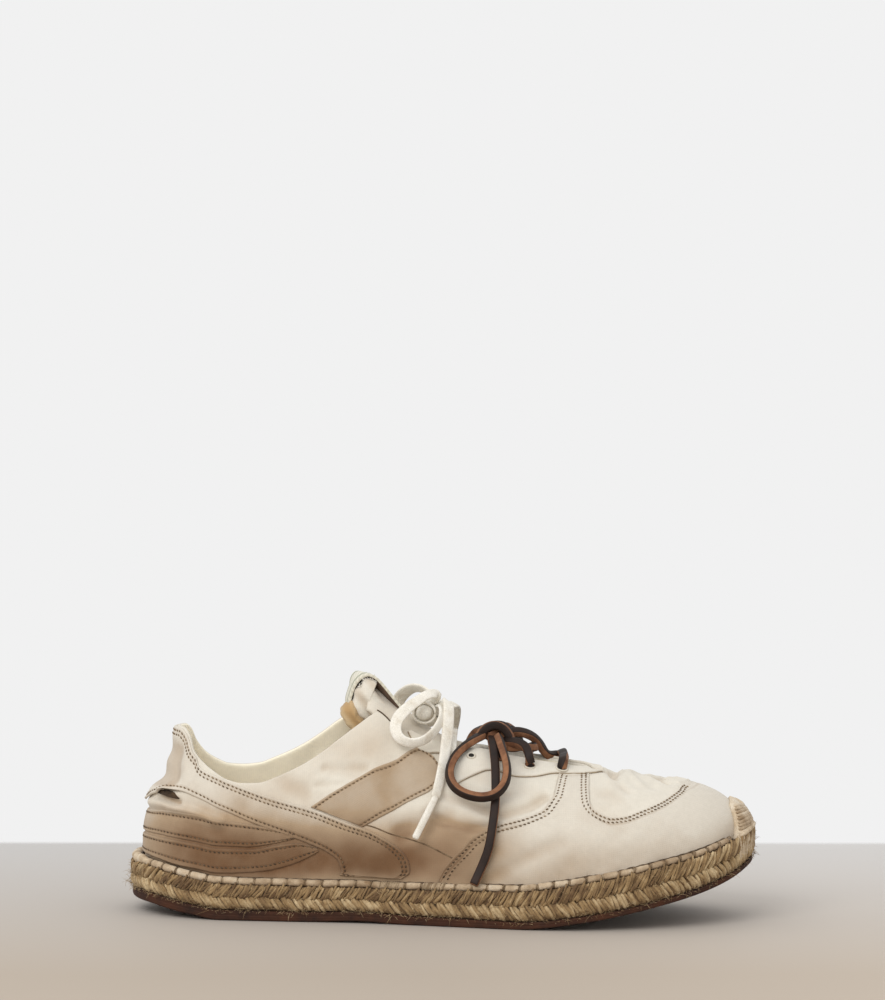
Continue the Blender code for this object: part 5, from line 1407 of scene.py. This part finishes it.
def bumper():
    """Toe bumper: a pad whipped with yarns wound side by side round the toe, a bare band above them.

    Yarn k lies at share r_k between the bumper's rails, wavering by a small sine.
    """
    lift = GAP + OVERLAY + GAP
    t = columns(TOE_BUMPER, 0.8, LATERAL)[0][:, None]

    def foot(r):
        """The bumper is thickest at its foot."""
        return 1.9 * (1 - r)**1.3

    r = np.linspace(0, 1, 14)[None]
    halves = []
    for side in SIDES:
        turn, girth = between(TOE_BUMPER, t, r, side)
        face = shell(turn, girth, side, lift + 0.75 + foot(r) - 0.8 * abs(2 * r - 1)**7 + 0 * t)
        halves.append(np.concatenate([face, shell(turn, girth, side, GAP + 0.05 + 0 * girth)[:, ::-1]], 1))
    rings = joined(halves)
    rings[..., 2] = np.maximum(rings[..., 2], sole_top(rings[..., 0]) + 0.1)
    tubes("toe_bumper_pad", rings, JUTE_PALE, tone=0.72, nodes="toe_bumper", slot="jute")
    # each yarn keeps its height: it runs round the toe from one rear edge of the bumper to the other
    edge_turn, edge = station_turn(TOE_BUMPER["high_station"])[::-1], TOE_BUMPER["high_girth"][::-1] / 100
    levels = np.arange(0.02, 0.38, 0.034)
    yarns, count = [], len(levels)
    for k, level in enumerate(levels):
        turns = np.linspace(np.interp(level, edge, edge_turn), 1, 40)
        share = level / np.interp(turns, edge_turn, edge)
        front = (turns - turns[0]) / (1 - turns[0])
        wave = level * (1 - 0.18 * front) + 0.003 * np.sin(turns * 90 + k * 1.9)
        near, far = (shell(turns, wave + 0.006 * side * (1 - turns) * 10, side, lift + 0.9 + foot(np.clip(share, 0, 1)))
                     for side in SIDES)
        p = np.concatenate([near, far[-2::-1]])
        p[:, 2] = np.maximum(p[:, 2], sole_top(p[:, 0]) + 0.55)
        yarns.append(evenly(p, count=YARN_RINGS))
    yarns = np.stack(yarns)
    out = unit(yarns - (236, 4, 30))
    size = 0.95 * (1 + jitter(count, 0.12))[:, None]
    size = size * np.interp(np.arange(YARN_RINGS), [0, 3, 40, 43], [0.5, 1, 1, 0.5])
    tubes("toe_bumper_yarns", carry(yarns, out, circle(8) * size[..., None, None]), JUTE_PALE,
          tone=0.5 + jitter(count, 0.22), nodes="toe_bumper", slot="jute")
    # upright strands below it, over the side of the sole
    places = halfway + np.arange(-21, 21.1, 1.5)
    count = len(places)
    places = places + jitter(count, 0.3)
    f = np.linspace(0, 1, 9)
    at = places[:, None] + 1.2 * (f - 0.5) + jitter(count, 0.6)[:, None] * f
    inset = np.interp(f, [0, 0.2, 0.6, 0.85, 1], [2.6, 0.2, -0.1, 0.4, 1.6]) + 0.5
    share = np.interp(f, [0, 0.2, 0.6, 0.85, 1], [0.10, 0.28, 0.72, 0.98, 1.12])
    strands = carry(rim_place(at, inset, share), rim_out(at), circle(7, 0.62))
    tubes("toe_strands", strands, JUTE_PALE, tone=0.3 + jitter(count, 0.25), **IN_JUTE)


bumper()


LONGEST_HAIR = 6


def fuzz(name, count, low, high, reach, tone, heel):
    """Loose fibres of jute: thin curved hairs that leave the side of the sole and droop, a share at the heel."""
    at = RANDOM.uniform(0, RIM_LENGTH, count)
    at = np.where(RANDOM.uniform(0, 1, count) < heel, RANDOM.normal(0, 38, count), at)
    root = rim_place(at, 0.5, RANDOM.uniform(low, high, count))[:, None]
    out, length = rim_out(at), RANDOM.gamma(2.2, reach / 2.2, count)[:, None, None]
    heading = unit(out * RANDOM.uniform(0.25, 1, count)[:, None]
                   + np.cross(out, UPWARDS) * RANDOM.normal(0, 0.9, count)[:, None]
                   + np.array(UPWARDS) * RANDOM.normal(-0.05, 0.55, count)[:, None])[:, None]
    bend = unit(RANDOM.normal(0, 1, (count, 3)) + (0, 0, -0.6))[:, None]
    f = np.linspace(0, 1, 4)[None, :, None]
    path = root + heading * f * length + bend * f**2 * 0.35 * length
    path[..., 2] = np.maximum(path[..., 2], 0.3)
    path = path - heading * np.maximum(np.linalg.norm(path - root, axis=-1, keepdims=True) - LONGEST_HAIR, 0)
    size = np.array([0.085, 0.075, 0.055, 0.025]) * RANDOM.uniform(0.7, 1.3, count)[:, None]
    tubes(name, carry(path, bend + 0 * path, circle(3) * size[..., None, None]), JUTE,
          tone=np.clip(tone + jitter(count, 0.25), 0, 1), **IN_JUTE)


fuzz("jute_fuzz", 3600, 0, 1.04, 1.1, 0.7, 0.12)
fuzz("jute_fuzz_low", 1300, -0.1, 0.14, 1.2, 0.6, 0.1)
fuzz("jute_fuzz_long", 380, -0.10, 0.9, 2.4, 0.6, 0.35)


# ---------------------------------------------------------------- tongue, pull loop and eyelets

def tongue():
    """Two layers of canvas under the throat: at each station an arch across, its end swept back."""
    stations = np.concatenate([np.arange(103, 108, 0.5), np.arange(108, 203.1, 1.5)])
    across = np.sin(np.linspace(0, np.pi / 2, 14))
    half = along(TONGUE_WIDTH, "half", stations)[:, None] * across
    sweep = along(TONGUE_WIDTH, "sweep", stations)[:, None] * across**2
    edge = np.minimum(half[:, -1:] - half, (stations - 103)[:, None])
    sunk = 1.6 * np.exp(-((stations - 103) / 9)**2)[:, None]
    layers = []
    for depth, sign in ((WALL + 2 * GAP, 1), (WALL + 2 * GAP + TONGUE, -1)):
        halves = []
        for side in SIDES:
            girth = girths_at(stations, half, side)
            turn = station_turn(stations[:, None] - sweep)
            soft = 0.5 * relief(turn, girth, side) + 0.12 * np.sin(stations * 0.33)[:, None]
            lift = -depth - sunk - sign * fold_over(edge, 0.9) + np.minimum(soft, 0.25)
            halves.append(shell(turn, girth, side, lift))
        near, far = halves
        near[:, 0] = (near[:, 0] + far[:, 0]) / 2
        layers.append(np.concatenate([near[:, ::-1], far[:, 1:]], axis=1))
    points, faces = tube_faces(np.concatenate([layers[0], layers[1][:, ::-1]], 1)[None])
    worn = 0.05 + 0.05 * np.exp(-((points[:, 0] - 106) / 9)**2)
    put("tongue", points, faces, CREAM, "tongue", "cream_canvas", uv=points[:, :2], soil=worn)


def pillow(name, outline, half, middle, depth, made_of, slot, worn):
    """Rucked cloth: an outline along the shoe swept across it by half its width to either side.

    The outline keeps its size to near either side, then closes as (1 - v^6)^0.5. Crumples push it in
    and out by two products of sines.
    """
    outline = smooth_route(outline, 0.6, closed=True)
    centre = outline.mean(0)
    v = np.sin(np.linspace(-np.pi / 2, np.pi / 2, 41))[:, None]
    size = (1.0001 - abs(v)**6)**0.5
    angle = np.linspace(0, 2 * np.pi, len(outline), endpoint=False)
    crumple = 1 + depth * (np.sin(5 * angle + 4 * v) * np.sin(3 * v + 1) + 0.6 * np.sin(9 * angle - 5 * v))
    p = centre + (outline - centre) * (size * crumple)[..., None]
    across = middle + half * v - 1.1 * np.sin(0.55 * p[..., 0] + 0.5 * p[..., 1]) * abs(v)**8
    points, faces = tube_faces(np.stack([p[..., 0], across, p[..., 1]], -1)[None])
    shade = worn + 0.12 * np.sin(points[:, 0] * 0.7 + points[:, 2] * 0.5)
    put(name, points, faces, made_of, "tongue", slot, uv=points[:, [0, 2]], soil=np.clip(shade, 0, 1))
    return outline, centre


tongue()
# the tongue's end, gathered inside the pull loop, and its raw lower layer, browned and painted in shade under the
# loop's foot
END, CENTRE = pillow("tongue_end", [(94.4, 85.6), (93.4, 90), (94, 93.4), (95, 96.4), (97.2, 98.4), (98.4, 101),
                                    (102.4, 100.8), (104, 98.8), (103, 97.4), (103.8, 95.4), (106.4, 92.4),
                                    (109, 88.6), (105, 83.4), (99, 82.6)], 8, 1, 0.03, CREAM, "cream_canvas",
                    0.06)
# the hollow of the loop behind it, in shade
pillow("loop_shade", [(93.6, 87.6), (93.6, 92.4), (94.8, 97.2), (96.6, 100), (99.2, 101.4), (102.2, 101),
                      (104.8, 98.4), (105.6, 95), (103, 90), (98, 87)], 2, 2.6, 0, BROWNED_AND_SHADED_WEBBING,
       "webbing", 0)
pillow("tongue_back", [(88.8, 86), (90.6, 89.8), (93, 91.4), (95.6, 88.6), (98.4, 84), (101, 80), (97.4, 76.6),
                       (92.8, 79.6), (90, 83)], 8.6, 0.6, 0.05, BROWNED_AND_SHADED_CANVAS, "sand_canvas", 0.45)


# its threads, frayed along the top
count = 90
start = points_at(END, RANDOM.uniform(0.24, 0.42, count), np.linspace(0, 1, len(END)))
root = np.stack([start[:, 0], 1 + RANDOM.uniform(-8, 8, count), start[:, 1] - 0.4], -1)
heading = unit(np.stack([start[:, 0] - CENTRE[0], RANDOM.normal(0, 3, count), start[:, 1] - CENTRE[1]], -1)
               + RANDOM.normal(0, 0.45, (count, 3)))
f = np.linspace(0, 1, 4)[None, :, None]
length = RANDOM.uniform(0.5, 1.4, count)[:, None, None]
path = root[:, None] + heading[:, None] * f * length + RANDOM.normal(0, 0.25, (count, 1, 3)) * f**2
tubes("tongue_end_threads", carry(path, np.broadcast_to((0.3, 1, 0.2), path.shape), circle(4, 0.11)), COTTON,
      tone=0.6, nodes="tongue", slot="cream_canvas")


def webbing_finish():
    """Cotton webbing, herringbone woven: cream with a grey-green stripe inside either selvedge.

    The UV map runs along the tape in x and across it in y, in millimetres; ribs are 1.1 mm apart.
    """
    made, tree, shader = finish_of("striped cotton webbing", 0.9, 0.08)
    place = add(tree, "UVMap").outputs["UV"]
    across = add(tree, "SeparateXYZ", None, place).outputs["Y"]
    ribs = add(tree, "TexWave", {"bands_direction": "DIAGONAL"}, Vector=place, Scale=BANDS / 1.1, Distortion=0.8,
               Detail=1).outputs["Fac"]
    colour = ramp(tree, maths(tree, "DIVIDE", maths(tree, "ABSOLUTE", across), 6), (0, "#DCD8C8"), (0.4, "#DAD6C6"),
                  (0.44, "#A9AA96"), (0.6, "#A5A692"), (0.64, "#D8D3C2"), (1, "#D2CCBA"))
    # the rib hollows are painted a little darker, as shade
    cover(tree, shader, colour, ribs, 0.5, scaled(tree, ribs, 0, 1, 0.86, 1.04))
    return made


def pull_loop():
    """Flat webbing bent over the tongue's end: its oblong profile carried along the loop's route."""
    width, thickness = WEBBING
    flat = smooth_route(np.stack([LOOP_ROUTE["station"], LOOP_ROUTE["height"]], 1), 0.6)
    middle = float(along(SECTION, "across", 104, "ridge"))
    path = np.stack([flat[:, 0], middle + 0.4 * np.sin(np.arange(len(flat)) / 14), flat[:, 1]], 1)
    ahead = unit(np.gradient(path, axis=0))
    out = np.cross(ahead, ACROSS)
    shape = square(width, thickness, 24, 0.5)
    points, faces = tube_faces(carry(path, out, shape)[None])
    # it stands askew, its medial edge further back, most on its way down to the tongue
    askew = np.interp(np.linspace(0, 1, len(path)), (0, 0.42, 0.6, 1), (0.12, 0.16, 0.6, 0.6))
    askew = np.concatenate([np.repeat(askew, len(shape)), askew[[0, -1]]])
    points[:, 0] -= askew * (points[:, 1] - middle + width / 2)
    where = distances(path)
    uv = np.stack(np.broadcast_arrays(where[:, None], shape[None, :, 0]), -1).reshape(-1, 2)
    # the inner face of the loop takes the browned back's finish, painted dark as the shade inside the loop
    middle_of = (shape + np.roll(shape, -1, 0)) / 2
    within = (middle_of[:, 1] < -0.3 * thickness).astype(int)
    put("tongue_loop", points, faces, [webbing_finish(), BROWNED_AND_SHADED_WEBBING], "tongue_loop", "webbing",
        np.concatenate([np.tile(within, len(path) - 1), np.zeros(2 * len(shape), int)]),
        np.concatenate([uv, [(0, 0), (where[-1], 0)]]), tone=0.4)
    # sewn down on the tongue's face
    line = path[np.linalg.norm(path - path[-1], axis=1) < 9]
    face, inside = thickness / 2 - 0.1, 3.9
    runs = [(line + (0, y, 0) + out[-len(line):] * face, out[-len(line):], np.zeros(len(line)))
            for y in (-inside, inside)]
    end = path[-4] + out[-4] * face + np.linspace(-inside, inside, 20)[:, None] * ACROSS
    runs.append((end, np.tile(out[-4], (20, 1)), np.zeros(20)))
    stitches("loop_stitching", runs, THREAD_CREAM, 1.9, 0.22, "webbing", 0.6)


pull_loop()

# an eyelet is a sewn rim round a dark hole, the bare one nearly closed
rims, holes = [], []
for station in EYELETS:
    for side in SIDES:
        centre, out = eyelet_at(station, side, 0.12)
        ahead = unit(np.cross(out, ACROSS))
        turned = circle(20) @ np.stack([ahead, np.cross(ahead, out)])
        open_to = 0.6 if station == EYELETS[3] else 1
        ring = centre + (0.35 + 2 * open_to) * turned
        rims.append(carry(ring, np.broadcast_to(out, ring.shape), circle(7, 0.5, 0.8), looped=True))
        down = np.array([0.25, 0.05, -0.35])[:, None, None]
        size = np.array([2, 2.2, 2.2])[:, None, None] * open_to
        holes.append(centre + down * out + size * turned)
tubes("eyelet_rims", np.stack(rims), THREAD_CREAM, looped=True, tone=0.6, nodes="eyestay", slot="cream_canvas")
tubes("eyelet_holes", np.stack(holes), HOLLOW, nodes="eyestay", slot="cream_canvas")
